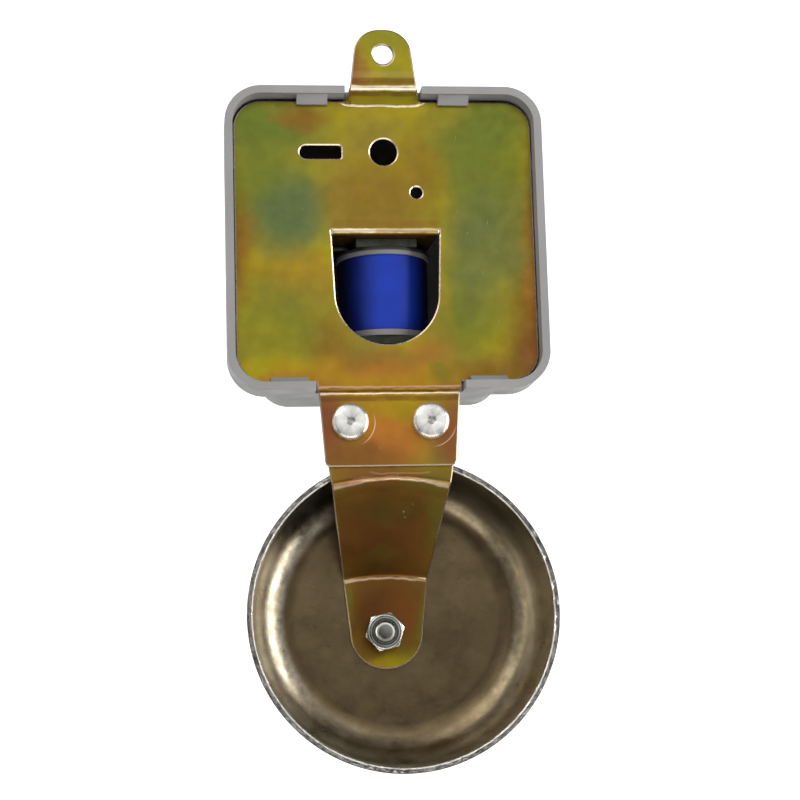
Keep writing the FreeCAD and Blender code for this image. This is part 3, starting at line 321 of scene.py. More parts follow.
# ---------------------------------------------------------------- finishes
# Patches: tone, middle across and up, half width and half height (mm), strength.
PLATE_PATCHES = (
    ("leaf", 27, -16, 20, 13, 1.0), ("leaf", -26, -15, 13, 9, 0.75), ("leaf", 28, -30, 13, 16, 0.9),
    ("rust", 18, -13.5, 9, 5, 0.85), ("slate", 21.5, -37, 13, 13, 1.0),
    ("rust", 35, -45, 8, 20, 0.9), ("amber", 20, -50, 15, 7, 0.45),
    ("leaf", 25, -63, 15, 14, 0.75), ("gold", 27, -66, 15, 13, 0.35),
    ("rust", 13, -67, 7, 10, 0.6), ("gold", 28, -74, 20, 7, 1.0),
    ("amber", 12, -75, 22, 7, 0.9), ("brick", 0, -70.5, 18, 6, 0.6),
    ("amber", -6, -75, 20, 6, 0.9), ("leaf", -12, -74, 5, 4, 0.5),
    ("rust", -24, -73, 13, 6, 0.7), ("leaf", -20, -61, 11, 11, 0.65),
    ("rust", -35, -65, 12, 20, 1.0), ("brick", -35, -70, 8, 10, 0.6),
    ("leaf", -22, -25, 18, 24, 0.85), ("slate", -23, -45, 14, 20, 0.75),
    ("rust", -36, -38, 6, 34, 0.75), ("rust", 1, -32, 18, 15, 0.55),
    ("rust", -9, -24, 7, 11, 0.5), ("gold", 1, -13, 17, 5, 0.35),
    ("leaf", -1, 4, 10, 7, 0.85), ("gold", 0, 3, 12, 8, 0.45),
    ("brick", 8, -3, 6, 10, 0.85), ("rust", 0, -6.6, 14, 2.6, 0.7),
    ("amber", 0, -80, 22, 4, 0.7), ("amber", 0, -85, 13, 12, 0.9), ("ember", -1, -88, 13, 9, 0.75),
    ("gold", -3, -81, 9, 4, 0.5), ("brick", 15, -86, 9, 15, 1.0),
    ("rust", 8, -92, 16, 6, 0.8), ("brick", -15, -87, 8, 14, 0.95),
    ("brick", 6, -91, 14, 6, 0.5), ("ember", 37, -47, 7, 13, 0.15),
    ("ember", -35, -52, 6, 22, 0.3), ("ember", 26, -75.5, 14, 3.5, 0.4),
    ("ember", -9, -68, 8, 5, 0.35), ("ember", 1, -72, 12, 4, 0.25),
)
# The dark red-brown patches on the slope and on the lobe are painted shade: the slope faces down,
# the lobe lies deep inside the gong.
BRACKET_PATCHES = (
    ("rust", 0, -108, 40, 24, 1.0), ("umber_shade", 1, -108, 17, 15, 0.85),
    ("leaf", -1, -103.5, 14, 4, 0.2), ("leaf", -11, -106, 4, 10, 0.4), ("leaf", 0, -114, 6, 4, 0.3),
    ("rust", 0, -96, 22, 4, 1.0), ("brick", 6, -96, 8, 4, 0.4), ("leaf", -9, -97, 7, 4, 0.5),
    ("umber_shade", 0, -126, 20, 16, 1.0), ("ember", -4, -127, 7, 8, 0.16),
    ("umber_shade", 6, -133, 8, 10, 0.5), ("gold", 1, -138.4, 10, 4.5, 1.0),
    ("amber", 3, -137.6, 6, 3, 0.5), ("leaf", -9.2, -127, 2, 9, 0.5), ("leaf", 10, -124, 2, 9, 0.4),
)
# Painted light and shade along the bends, where each bend turns toward or away from the light:
# tone, height, half thickness, reach to each side, rise in the middle or of both ends (below 0),
# extra thickness at the ends (mm), strength, middle across.
PLATE_BEND_LIGHT = (
    ("pink_highlight", -4.9, 0.8, 8.6, 0.1, 0.1, 0.12, 0.0),
    ("umber_shade", -6.3, 0.7, 9.2, 0.1, 0.1, 0.55, 0.0),
    ("bared_and_highlight", -7.95, 0.50, 9.6, -0.2, 0.15, 1.0, 0.0),
    ("umber_shade", -9.0, 0.45, 9.6, -0.2, 0.1, 0.6, 0.0),
    ("gold", -10.2, 0.6, 9.8, 0.0, 0.0, 0.6, 0.0),
    ("bared_and_highlight", -11.2, 0.20, 10.4, -1.6, 0.0, 1.0, 0.0),
    ("bared_and_highlight", -40.35, 0.42, 12.6, 0.0, 0.0, 1.0, 0.0),
    ("amber", -40.4, 0.6, 7.5, 0.0, 0.0, 0.55, -5.0),
    ("rust", -38.9, 0.9, 12.6, 0.0, 0.0, 0.45, 0.0),
    ("umber_shade", -41.3, 0.35, 12.8, 0.0, 0.0, 0.85, 0.0),
    ("pink_highlight", -76.35, 0.22, 17.5, 0.0, 0.1, 0.9, 0.0),
    ("umber_shade", -77.0, 0.26, 17.5, 0.0, 0.0, 0.8, 0.0),
    ("bared_and_highlight", -77.65, 0.20, 17.5, 0.0, 0.1, 0.85, 0.0),
    ("umber_shade", -78.8, 0.6, 17.5, 0.0, 0.0, 0.6, 0.0),
)
BRACKET_BEND_LIGHT = (
    ("pink_highlight", -95.6, 0.2, 7.0, -0.4, 0.0, 0.25, -2.0),
    ("pink_highlight", -96.9, 0.2, 8.0, 0.6, 0.0, 0.3, 1.0),
    ("pink_highlight", -99.3, 0.35, 14.8, 2.5, 0.35, 0.45, 0.0),
    ("bared_and_highlight", -99.4, 0.10, 14.8, 2.5, 0.35, 0.55, 0.0),
    ("umber_shade", -101.2, 0.6, 14.8, 2.5, 0.4, 0.25, 0.0),
    ("umber_shade", -117.0, 0.6, 10.4, 0.9, 0.3, 0.3, 0.0),
    ("pink_highlight", -118.5, 0.30, 10.4, 0.9, 0.25, 0.45, 0.0),
    ("bared_and_highlight", -118.5, 0.12, 10.4, 0.9, 0.35, 0.4, 0.0),
)
# Painted highlights on arcs pressed round the rivets and the hanging hole, drawn only where the
# light
# catches them: middle across and up, radius, half thickness, middle across and up of the lit part
# (mm).
PRESSED_ARC_HIGHLIGHTS = (
    (0.0, 0.0, 2.75, 0.14, -2.0, -2.6),
    (9.05, -84.05, 5.6, 0.10, 4.2, -86.2), (-9.05, -84.05, 5.8, 0.09, -12.8, -88.2),
)


def passivated(name, colours, patches, creases, marks=(), waver=0.25):
    """Yellow passivated steel: patches of tints over olive, worn bright at scratches, with painted
    light and shade along the bends, whose lines waver by so many mm, and painted highlights on the
    lit side of pressed arcs."""
    made = Finish(name)
    drifting = made.warped(9.0, 4.0)
    blotch = made.cloud(16.0, 2.0, 0.5, drifting)
    colour = made.mixed(made.level(blotch, 0.35, 0.70), colours.olive, colours.gold)
    greener = made.cloud(12.0, 1.5, 0.5, made.stretched((1.0, 1.0, 0.8)))
    colour = made.mixed(made.level(greener, 0.50, 0.72, 0.0, 0.5), colour, colours.leaf)
    for tone, across, up, wide, high, strength in patches:
        mask = made.spot(drifting, across, up, wide, high, 0.8)
        colour = made.mixed(made.maths("MULTIPLY", mask, strength), colour,
                            getattr(colours, tone))
    fine = made.cloud(3.2, 5.0, 0.55)
    colour = made.mixed(0.12, colour, made.level(fine, 0.25, 0.75, 0.6, 1.4), "MULTIPLY")
    wavering = made.warped(3.0, waver)
    # Painted light and shade along the bends.
    for tone, up, half, reach, rise, swell, strength, centre in creases:
        mask = made.crease(wavering, up, half, reach, rise, swell, centre)
        patchy = made.level(made.cloud(4.0, 3.0, 0.5), 0.25, 0.55, 0.65, 1.0)
        mask = made.maths("MULTIPLY", mask, made.maths("MULTIPLY", patchy, strength))
        colour = made.mixed(mask, colour, getattr(colours, tone))
    # Painted highlight on the lit side of each pressed arc.
    for across, up, radius, half, seen_across, seen_up in marks:
        away = made.away_from((across, 0.0, up), (1.0, 0.0, 1.0))
        lit_part = made.spot(made.place, seen_across, seen_up, 3.9, 4.6, 0.7)
        ring = made.maths("MULTIPLY", made.band(away, radius, half), lit_part)
        colour = made.mixed(made.maths("MULTIPLY", ring, 0.5), colour, colours.bared_and_highlight)
    scratch = made.cloud(1.0, 2.0, 0.5, made.stretched((4.0, 4.0, 0.30)))
    scratch = made.level(scratch, 0.765, 0.79, 0.0, 0.25)
    speck = made.level(made.cloud(0.9, 2.0, 0.5), 0.76, 0.81, 0.0, 0.5)
    colour = made.mixed(made.maths("MAXIMUM", scratch, speck), colour, colours.bared_and_highlight)
    gloss = made.level(made.cloud(4.0, 4.0, 0.6), 0.3, 0.7, 0.32, 0.46)
    normal = made.bumped(made.cloud(0.35, 3.0, 0.6), 0.003)
    normal = made.bumped(made.cloud(7.0, 2.0, 0.5), 0.03, normal)
    return made.surface(colour, gloss, 0.88, normal)


def cut_metal(name, colour, bright_from=-1000, bright_to=1000):
    """Sheared metal with short marks across the thickness, dull beyond two heights (mm)."""
    made = Finish(name)
    marks = made.cloud(0.35, 3.0, 0.6)
    base = made.mixed(made.level(marks, 0.3, 0.7), scaled(colour, 0.55), colour)
    height = made.split(made.place)[2]
    for bright, dull in ((bright_from, -1.0), (bright_to, 1.0)):
        faded = made.level(height, bright * MM, (bright + dull) * MM, 0.0, 0.75)
        base = made.mixed(faded, base, scaled(colour, 0.28))
    return made.surface(base, made.level(marks, 0.2, 0.8, 0.25, 0.45), 0.9,
                        made.bumped(marks, 0.02))


def gong_metal(name, colour, centre):
    """Bare pressed steel, blotched brown-grey: painted reflection round the inner corner and on the
    wall, painted shade high on the wall, and a painted highlight along the rim's inner edge.
    """
    made = Finish(name)
    out = made.radial(centre, (1.0, 0.0, 1.0))
    radius = made.add("ShaderNodeVectorMath", [(0, out)], operation="LENGTH").outputs[1]
    depth = made.split(made.place)[1]
    blotch = made.cloud(9.0, 4.0, 0.6, made.warped(6.0, 3.0))
    base = made.mixed(made.level(blotch, 0.3, 0.7), scaled(colour, 0.80), scaled(colour, 1.20))
    warm = made.cloud(14.0, 2.0)
    base = made.mixed(made.level(warm, 0.45, 0.7, 0.0, 0.5), base, scaled(colour, 1.15))
    stain = made.level(made.cloud(2.2, 4.0, 0.65), 0.62, 0.75, 0.0, 0.5)
    base = made.mixed(stain, base, scaled(colour, 0.5))
    east, _, north = made.split(out)
    # Painted reflection round the inner corner: brighter on one side, weaker low down, broken up in
    # patches.
    highlight_fade_low = made.level(made.maths("DIVIDE", north, radius), -0.80, -0.40, 0.32, 1.0)
    lit_side = made.level(made.maths("DIVIDE", east, radius), -0.6, 0.8)
    highlight_breakup = made.level(made.cloud(1.6, 5.0, 0.65), 0.34, 0.66, 0.55, 1.0)
    broad, slim = made.band(radius, 28.4, 2.1, 0.5), made.band(radius, 28.9, 1.3, 0.6)
    corner = made.maths("MULTIPLY", made.maths("MAXIMUM", slim, made.maths(
        "MULTIPLY", broad, lit_side)), highlight_breakup)
    corner = made.maths("MULTIPLY", corner, highlight_fade_low)
    tone = made.mixed(lit_side, (0.34, 0.28, 0.18), (0.44, 0.39, 0.30))
    base = made.mixed(corner, base, tone)
    # Painted reflection on the wall, brighter on one side, with painted shade on its upper part.
    wall = made.level(radius, 0.0300, 0.0325, 0.0, 0.9)
    wall_reflection = made.mixed(lit_side, (0.72, 0.66, 0.50), (0.92, 0.87, 0.72))
    streaks = made.cloud(7.0, 4.0, 0.6, made.stretched((1.0, 0.35, 1.0)))
    wall_reflection = made.mixed(made.level(streaks, 0.35, 0.65, 0.0, 0.45), wall_reflection, (0.30, 0.26, 0.19))
    upper = made.level(made.maths("DIVIDE", north, radius), 0.2, 0.8, 0.0, 0.85)
    base = made.mixed(wall, base, made.mixed(upper, wall_reflection, (0.17, 0.165, 0.13)))
    foot = made.band(radius, 25.0, 1.2, 0.7)
    uneven = made.level(made.cloud(12.0, 2.0), 0.35, 0.6, 0.1, 0.5)
    base = made.mixed(made.maths("MULTIPLY", foot, uneven), base, scaled(colour, 0.35))

    turn = made.maths("MULTIPLY", made.maths("ARCTAN2", north, east), 12 * MM)
    along = made.add("ShaderNodeCombineXYZ", [(0, radius), (1, turn), (2, depth)]).outputs[0]
    shear = made.level(made.cloud(0.5, 5.0, 0.7, along), 0.36, 0.66)
    face = made.mixed(shear, (0.11, 0.10, 0.09), (0.36, 0.345, 0.32))
    # Painted highlight along the inner edge of the rim.
    bright = made.band(radius, 33.8, 0.2, 0.4)
    face = made.mixed(bright, face, (0.95, 0.93, 0.88))
    rim = made.level(depth, -0.0083, -0.0079)
    base = made.mixed(rim, base, face)
    gloss = made.level(made.cloud(5.0, 5.0, 0.65), 0.3, 0.7, 0.26, 0.42)
    normal = made.bumped(made.cloud(0.5, 4.0, 0.65), 0.010)
    normal = made.bumped(made.cloud(5.0, 3.0, 0.55), 0.05, normal)
    return made.surface(base, gloss, 1.0, normal)


def turned_metal(name, colour, centre, kept, roughness=0.28):
    """Metal turned on a lathe, with fine rings round its axis."""
    made = Finish(name)
    radius = made.away_from(centre, kept)
    rings = made.maths("SINE", made.maths("MULTIPLY", radius, 2 * math.pi / (0.16 * MM)))
    cloudy = made.cloud(1.8, 4.0, 0.6)
    base = made.mixed(made.level(cloudy, 0.3, 0.7), scaled(colour, 0.86), colour)
    gloss = made.level(cloudy, 0.25, 0.75, roughness * 0.8, roughness * 1.3)
    normal = made.bumped(rings, 0.0035)
    return made.surface(base, gloss, 1.0, normal)


def rivet_metal(name, colours, centre):
    """A rivet head faced on a lathe: glare in two fans, a dull dimple and a painted highlight along
    its rim.
    """
    made = Finish(name)
    out = made.radial(centre, (1.0, 0.0, 1.0))
    radius = made.add("ShaderNodeVectorMath", [(0, out)], operation="LENGTH").outputs[1]
    east, _, north = made.split(out)
    turn = made.maths("MULTIPLY", made.maths("ARCTAN2", north, east), 1.2 * MM)
    fan = made.cloud(0.9, 2.0, 0.5, made.add("ShaderNodeCombineXYZ", [(0, turn)]).outputs[0])
    base = made.mixed(made.level(fan, 0.3, 0.7), scaled(colours.rivet, 0.72), colours.rivet)
    dimple = made.level(radius, 1.15 * MM, 0.75 * MM, 0.0, 0.8)
    base = made.mixed(dimple, base, scaled(colours.rivet, 0.32))
    # Painted highlight along the head's rim.
    rim = made.band(radius, 3.9, 0.2, 0.4)
    base = made.mixed(made.maths("MULTIPLY", rim, 0.5), base, colours.bared_and_highlight)
    rings = made.maths("SINE", made.maths("MULTIPLY", radius, 2 * math.pi / (0.22 * MM)))
    normal = made.bumped(rings, 0.002)
    made.shader.inputs["Anisotropic"].default_value = 0.85
    made.feed(made.shader.inputs["Tangent"], made.add(
        "ShaderNodeVectorMath", [(0, out)], operation="NORMALIZE").outputs[0])
    gloss = made.level(made.cloud(1.5, 4.0, 0.6), 0.3, 0.7, 0.26, 0.36)
    return made.surface(base, gloss, 1.0, normal)


def ringed_metal(name, colour, centre, rings):
    """Plated metal with rings of tone, used for painted highlights and painted shadows, given as
    (middle, half thickness (mm), tint, strength).
    """
    made = Finish(name)
    radius = made.away_from(centre, (1.0, 0.0, 1.0))
    cloudy = made.cloud(1.2, 4.0, 0.6)
    base = made.mixed(made.level(cloudy, 0.3, 0.7), scaled(colour, 0.72), scaled(colour, 1.2))
    for middle, half, tone, strength in rings:
        ring = made.maths("MULTIPLY", made.band(radius, middle, half, 0.4), strength)
        base = made.mixed(ring, base, tone)
    gloss = made.level(cloudy, 0.25, 0.75, 0.22, 0.36)
    normal = made.bumped(made.cloud(0.4, 3.0, 0.6), 0.008)
    return made.surface(base, gloss, 1.0, normal)


def moulded(name, colour, roughness=(0.42, 0.55)):
    """Moulded plastic with a fine texture, faint flow marks and rubbed spots."""
    made = Finish(name)
    flow = made.cloud(14.0, 3.0, 0.5, made.stretched((1.0, 1.0, 0.5)))
    base = made.mixed(made.level(flow, 0.3, 0.7), scaled(colour, 0.93), scaled(colour, 1.06))
    dust = made.level(made.cloud(0.8, 3.0, 0.6), 0.66, 0.76, 0.0, 0.22)
    base = made.mixed(dust, base, scaled(colour, 1.8))
    gloss = made.level(made.cloud(6.0, 4.0, 0.6), 0.3, 0.7, roughness[0], roughness[1])
    normal = made.bumped(made.cloud(0.25, 3.0, 0.6), 0.006)
    return made.surface(base, gloss, 0.0, normal)


def film(name, colours, middle):
    """Plastic film wound tight, with painted shade on its sides away from its middle (mm), and
    pressed lines.
    """
    made = Finish(name)
    blotch = made.cloud(5.0, 3.0, 0.5)
    blue = colours.wrap_blue
    base = made.mixed(made.level(blotch, 0.3, 0.7), scaled(blue, 0.86), scaled(blue, 1.06))
    across, deep, _ = made.split(made.place)
    # Painted shade: the film is blue only on its lit front and navy on the sides.
    lit = made.band(across, middle, 6.0, 0.7)
    lit = made.maths("MULTIPLY", lit, made.level(deep, -0.0125, -0.0095))
    base = made.mixed(lit, colours.wrap_side_shade, base)
    creases = made.cloud(1.4, 3.0, 0.5, made.stretched((1.0, 1.0, 0.15)))
    normal = made.bumped(creases, 0.03)
    gloss = made.level(made.cloud(2.5, 3.0), 0.3, 0.7, 0.42, 0.54)
    return made.surface(base, gloss, 0.0, normal, 0.22)


def painted_shadow_above(name, colour, dark, height):
    """Moulded plastic with a painted shadow above a height (mm)."""
    made = Finish(name)
    flow = made.cloud(6.0, 3.0, 0.5)
    base = made.mixed(made.level(flow, 0.3, 0.7), scaled(colour, 0.9), scaled(colour, 1.08))
    base = made.mixed(made.level(made.split(made.place)[2], (height - 0.25) * MM,
                                 (height + 0.25) * MM), base, dark)
    gloss = made.level(made.cloud(3.0, 4.0, 0.6), 0.3, 0.7, 0.45, 0.6)
    return made.surface(base, gloss, 0.0, made.bumped(made.cloud(0.25, 3.0, 0.6), 0.006), 0.3)


# ---------------------------------------------------------------- mesh building
def add_object(name, mesh, body, replaced):
    """Put a mesh in the scene as a piece that rides on a body in place of some nodes."""
    piece = bpy.data.objects.new(name, mesh)
    bpy.context.scene.collection.objects.link(piece)
    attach(piece, body)
    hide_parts(*replaced)
    return piece


def add_bevel(piece, width, angle, material):
    """Round the edges sharper than the angle; material -1 keeps that of the faces beside."""
    bevel = piece.modifiers.new("edge_round", "BEVEL")
    bevel.width = width
    bevel.segments = 2
    bevel.limit_method = "ANGLE"
    bevel.angle_limit = math.radians(angle)
    bevel.use_clamp_overlap = True
    bevel.miter_outer = "MITER_ARC"
    bevel.harden_normals = True
    bevel.material = material


def closed_up(name, shape):
    """A mesh from a finished bmesh, with its normals facing out."""
    mesh = bpy.data.meshes.new(name)
    bmesh.ops.recalc_face_normals(shape, faces=shape.faces)
    shape.to_mesh(mesh)
    shape.free()
    return mesh


def set_smooth(mesh, angle=35.0):
    """Smooth shading that keeps edges sharper than the angle."""
    mesh.shade_smooth()
    mesh.set_sharp_from_angle(angle=math.radians(angle))


def refined_copy(node, name, body, material, edge, angle=40.0, edge_material=None):
    """A copy of a node with its faces joined up and its edges rounded, in place of the node."""
    mesh = bpy.data.meshes.new(name)
    shape = bmesh.new()
    shape.from_mesh(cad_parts[node].data)
    bmesh.ops.remove_doubles(shape, verts=shape.verts, dist=1e-6)
    bmesh.ops.dissolve_limit(shape, angle_limit=math.radians(1.0), verts=shape.verts,
                             edges=shape.edges, delimit={"NORMAL"})
    for layer in list(shape.loops.layers.float_vector.values()):
        shape.loops.layers.float_vector.remove(layer)
    for face in shape.faces:
        face.material_index = 0
    shape.to_mesh(mesh)
    shape.free()
    mesh.materials.append(material)
    set_smooth(mesh)
    piece = add_object(name, mesh, body, [node])
    if edge_material is not None:
        mesh.materials.append(edge_material)
    add_bevel(piece, edge, angle, -1 if edge_material is None else 1)


def dress_node(node, material):
    """Give a node that keeps its own shape a better material."""
    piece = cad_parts[node]
    for place in piece.material_slots:
        place.material = material


def rounded(corners, closed=True, step=7.5):
    """An outline from (x, y, radius) corners, each turned into an arc."""
    outline = []
    count = len(corners)
    for i, (x, y, radius) in enumerate(corners):
        corner = Vector((x, y))
        if not radius or (not closed and i in (0, count - 1)):
            outline.append(corner)
            continue
        back = (Vector(corners[i - 1][:2]) - corner).normalized()
        ahead = (Vector(corners[(i + 1) % count][:2]) - corner).normalized()
        half = back.angle(ahead) / 2
        centre = corner + (back + ahead).normalized() * (radius / math.sin(half))
        first = corner + back * (radius / math.tan(half)) - centre
        last = corner + ahead * (radius / math.tan(half)) - centre
        sweep = math.copysign(math.pi - 2 * half, first.x * last.y - first.y * last.x)
        steps = max(2, math.ceil(abs(math.degrees(sweep)) / step))
        for k in range(steps + 1):
            turned = Matrix.Rotation(sweep * k / steps, 2) @ first
            outline.append(centre + turned)
    return outline


def mirrored(half):
    """A whole outline from its right half, listed from the top down."""
    return list(half) + [(-x, y, radius) for x, y, radius in reversed(half)]


def circle(x, y, radius):
    """Points round a circle, about 0.35 mm apart."""
    count = max(24, int(2 * math.pi * radius / 0.35))
    return [Vector((x + radius * math.cos(2 * math.pi * i / count),
                    y + radius * math.sin(2 * math.pi * i / count))) for i in range(count)]


def divided(outline, longest, levels=()):
    """The closed outline with more points: none further apart than longest, one at each level."""
    points = []
    for start, end in zip(outline, outline[1:] + outline[:1]):
        steps = max(1, math.ceil((end - start).length / longest - 1e-6))
        cuts = [i / steps for i in range(steps)]
        rise = end.y - start.y
        if abs(rise) > 0.05:
            cuts += [t for t in ((level - start.y) / rise for level in levels) if 0 < t < 1]
        for cut in sorted(cuts):
            point = start.lerp(end, cut)
            if not points or (point - points[-1]).length > 0.04:
                points.append(point)
    if (points[0] - points[-1]).length < 0.04:
        points.pop()
    return points


def inside(points, outlines):
    """Which of the points lie inside the outlines, by the even-odd rule."""
    found = np.zeros(len(points), bool)
    for outline in outlines:
        start = np.array(outline, float)
        end = np.roll(start, -1, axis=0)
        for (x0, y0), (x1, y1) in zip(start, end):
            if y0 == y1:
                continue
            crosses = (points[:, 1] > min(y0, y1)) & (points[:, 1] <= max(y0, y1))
            at = x0 + (points[:, 1] - y0) * (x1 - x0) / (y1 - y0)
            found ^= crosses & (points[:, 0] < at)
    return found


def clear_of(points, outlines, gap):
    """Which of the points are at least gap away from every outline."""
    kept = np.ones(len(points), bool)
    for outline in outlines:
        edge = np.array(outline, float)
        for x, y in edge:
            kept &= (points[:, 0] - x) ** 2 + (points[:, 1] - y) ** 2 > gap * gap
    return kept


def moved_in(outline, outlines, width):
    """The outline's points moved by width into the sheet, where there is room for them."""
    points = []
    for before, corner, after in zip(outline[-1:] + outline[:-1], outline,
                                     outline[1:] + outline[:1]):
        along = (after - before).normalized() * width
        points += [(corner.x - along.y, corner.y + along.x),
                   (corner.x + along.y, corner.y - along.x)]
    points = np.array(points)
    points = points[inside(points, outlines)]
    return points[clear_of(points, outlines, width * 0.9)]


def tiled(outlines, pitch, levels, rim):
    """Triangles that fill the outlines, with rows of points at the levels and along the rim,
    and which of their points are on an outline."""
    edge = np.concatenate([np.array(o, float) for o in outlines])
    low, high = edge.min(axis=0), edge.max(axis=0)
    rows = sorted(set(levels) | set(np.arange(low[1] + pitch / 2, high[1], pitch)))
    kept_rows = []
    for row in rows:
        if row in levels or all(abs(row - other) > pitch * 0.45 for other in levels):
            kept_rows.append(row)
    columns = np.arange(low[0] + pitch / 2, high[0], pitch)
    grid = np.array([(x, y) for y in kept_rows for x in columns])
    grid = grid[inside(grid, outlines)]
    grid = grid[clear_of(grid, outlines, rim + 0.25)]
    points, edges = [], []
    for outline in outlines:
        first = len(points)
        points += [Vector(p) for p in outline]
        edges += [(first + i, first + (i + 1) % len(outline)) for i in range(len(outline))]
    border = len(points)
    for outline in outlines:
        points += [Vector(p) for p in moved_in(outline, outlines, rim)]
    points += [Vector(p) for p in grid]
    verts, _, faces, sources, *_ = delaunay_2d_cdt(points, edges, [], 0, 1e-4)
    on_edge = [any(i < border for i in source) for source in sources]
    middles = np.array([sum((verts[i] for i in face), Vector((0, 0))) / 3 for face in faces])
    kept = inside(middles, outlines)
    return verts, on_edge, [face for face, keep in zip(faces, kept) if keep]


def add_sheet(shape, outlines, sizes, levels, shape_of, is_joint):
    """Add a sheet to a bmesh: shape_of gives the back place and normal of a flat point (mm)."""
    rim, roll = sizes.sheet_rim / MM, sizes.sheet_roll / MM
    verts, on_edge, faces = tiled(outlines, sizes.sheet_pitch / MM, levels, rim)
    backs, fronts = [], []
    rolled = [edge and not is_joint(flat) for flat, edge in zip(verts, on_edge)]
    for flat, edge in zip(verts, rolled):
        place, normal = shape_of(flat.x, flat.y)
        fall = roll if edge else 0.0
        backs.append(shape.verts.new((place - normal * fall) * MM))
        fronts.append(shape.verts.new((place - normal * (SHEET - fall)) * MM))
    borders = {}
    for face in faces:
        corners = list(face)
        back = shape.faces.new([backs[i] for i in corners])
        front = shape.faces.new([fronts[i] for i in reversed(corners)])
        back.material_index = front.material_index = int(any(rolled[i] for i in corners))
        for a, b in zip(corners, corners[1:] + corners[:1]):
            key = (min(a, b), max(a, b))
            borders[key] = None if key in borders else (a, b)
    for ends in filter(None, borders.values()):
        a, b = ends
        if is_joint(verts[a]) and is_joint(verts[b]):
            continue
        wall = shape.faces.new([backs[b], backs[a], fronts[a], fronts[b]])
        wall.material_index = 1


def sheet_object(name, shape, materials, body, replaced):
    """Finish a sheet-metal bmesh as a piece with bright sheared edges."""
    bmesh.ops.remove_doubles(shape, verts=shape.verts, dist=2e-6)
    mesh = closed_up(name, shape)
    for material in materials:
        mesh.materials.append(material)
    set_smooth(mesh, 24.0)
    add_object(name, mesh, body, replaced)


class Profile:
    """How deep a bent sheet lies at each height, from (height, depth, radius) corners."""

    def __init__(self, corners):
        points = sorted((p.x, p.y) for p in rounded(corners, closed=False, step=6.0))
        self.heights = np.array([p[0] for p in points])
        self.depths = np.array([p[1] for p in points])

    def depth(self, height):
        """Depth at a height."""
        return float(np.interp(height, self.heights, self.depths))

    def levels(self):
        """The heights that need a row of points."""
        return [float(h) for h in self.heights]


def waves(x, z, size, seed):
    """Gentle waves, all below 0."""
    return min(0.0, noise.noise(Vector((x / size, z / size, seed))) * 2 - 1)


def surface_of(depth_at):
    """A function giving place and back normal (mm) on the sheet y = depth_at(x, z)."""
    step = 0.04

    def place(x, z):
        slope_x = (depth_at(x + step, z) - depth_at(x - step, z)) / (2 * step)
        slope_z = (depth_at(x, z + step) - depth_at(x, z - step)) / (2 * step)
        return Vector((x, depth_at(x, z), z)), Vector((-slope_x, 1.0, -slope_z)).normalized()
    return place


def smooth_step(value):
    """0 below 0, 1 above 1, smooth between."""
    value = min(1.0, max(0.0, value))
    return value * value * (3 - 2 * value)


def lathe(name, centre, profile, segments, wobble=None):
    """A turned mesh from (depth, radius) points in mm round an axis along Y."""
    shape = bmesh.new()
    rings = []
    for number, (along, radius) in enumerate(profile):
        ring = []
        for i in range(segments):
            angle = 2 * math.pi * i / segments
            far, deep = radius, along
            if wobble is not None:
                shift = wobble(number, angle)
                far, deep = radius + shift[0], along + shift[1]
            across, up = far * math.cos(angle), far * math.sin(angle)
            place = Vector((centre[0] + across, deep, centre[2] + up))
            ring.append(shape.verts.new(place * MM))
            if radius == 0:
                break
        rings.append(ring)
    for low, high in zip(rings, rings[1:]):
        for i in range(segments):
            j = (i + 1) % segments
            corners = [low[i % len(low)], low[j % len(low)], high[j % len(high)],
                       high[i % len(high)]]
            unique = list(dict.fromkeys(corners))
            if len(unique) > 2:
                shape.faces.new(unique)
    return closed_up(name, shape)


def turned_piece(name, mesh, material, body, replaced, angle):
    """A lathe mesh as a finished piece."""
    mesh.materials.append(material)
    set_smooth(mesh, angle)
    add_object(name, mesh, body, replaced)


# ---------------------------------------------------------------- pieces
# Sheet and its bends, the planes of the folded sheets and the places of rivets and screw (mm).
SHEET = 0.8
BEND = 0.5
OUTER_BEND = BEND + SHEET
PANEL_BACK, STEP_BACK = -3.5, -4.4
BRACKET_BACK, LOBE_BACK = -5.2, -25.0
RIVET_SIDE, RIVET_HEIGHT, RIVET_HOLE = 9.05, -84.05, 2.03
SCREW_SIDE, SCREW_HEIGHT = 0.7, -130.05


def plate_depth(wave):
    """Depth of the base plate's back face: the tab's joggle, the panel and the lower step."""
    low, high = mm_box("base_plate")
    halfway = -40.0
    tab_line = Profile([(high.z, 0.0, 0), (-8.0, 0.0, OUTER_BEND), (-11.4, PANEL_BACK, BEND),
                        (halfway, PANEL_BACK, 0)])
    step_line = Profile([(halfway, PANEL_BACK, 0), (-76.85, PANEL_BACK, OUTER_BEND),
                         (-77.65, STEP_BACK, BEND), (low.z, STEP_BACK, 0)])

    def depth(x, z):
        if z > halfway:
            curl = 1.9 * smooth_step((abs(x) - 7.0) / 2.8) * smooth_step((-8.6 - z) / 1.6)
            base = tab_line.depth(z - curl)
        else:
            base = step_line.depth(z)
        return base + wave * waves(x, z, 17.0, 1.5)
    return depth, tab_line.levels() + step_line.levels()


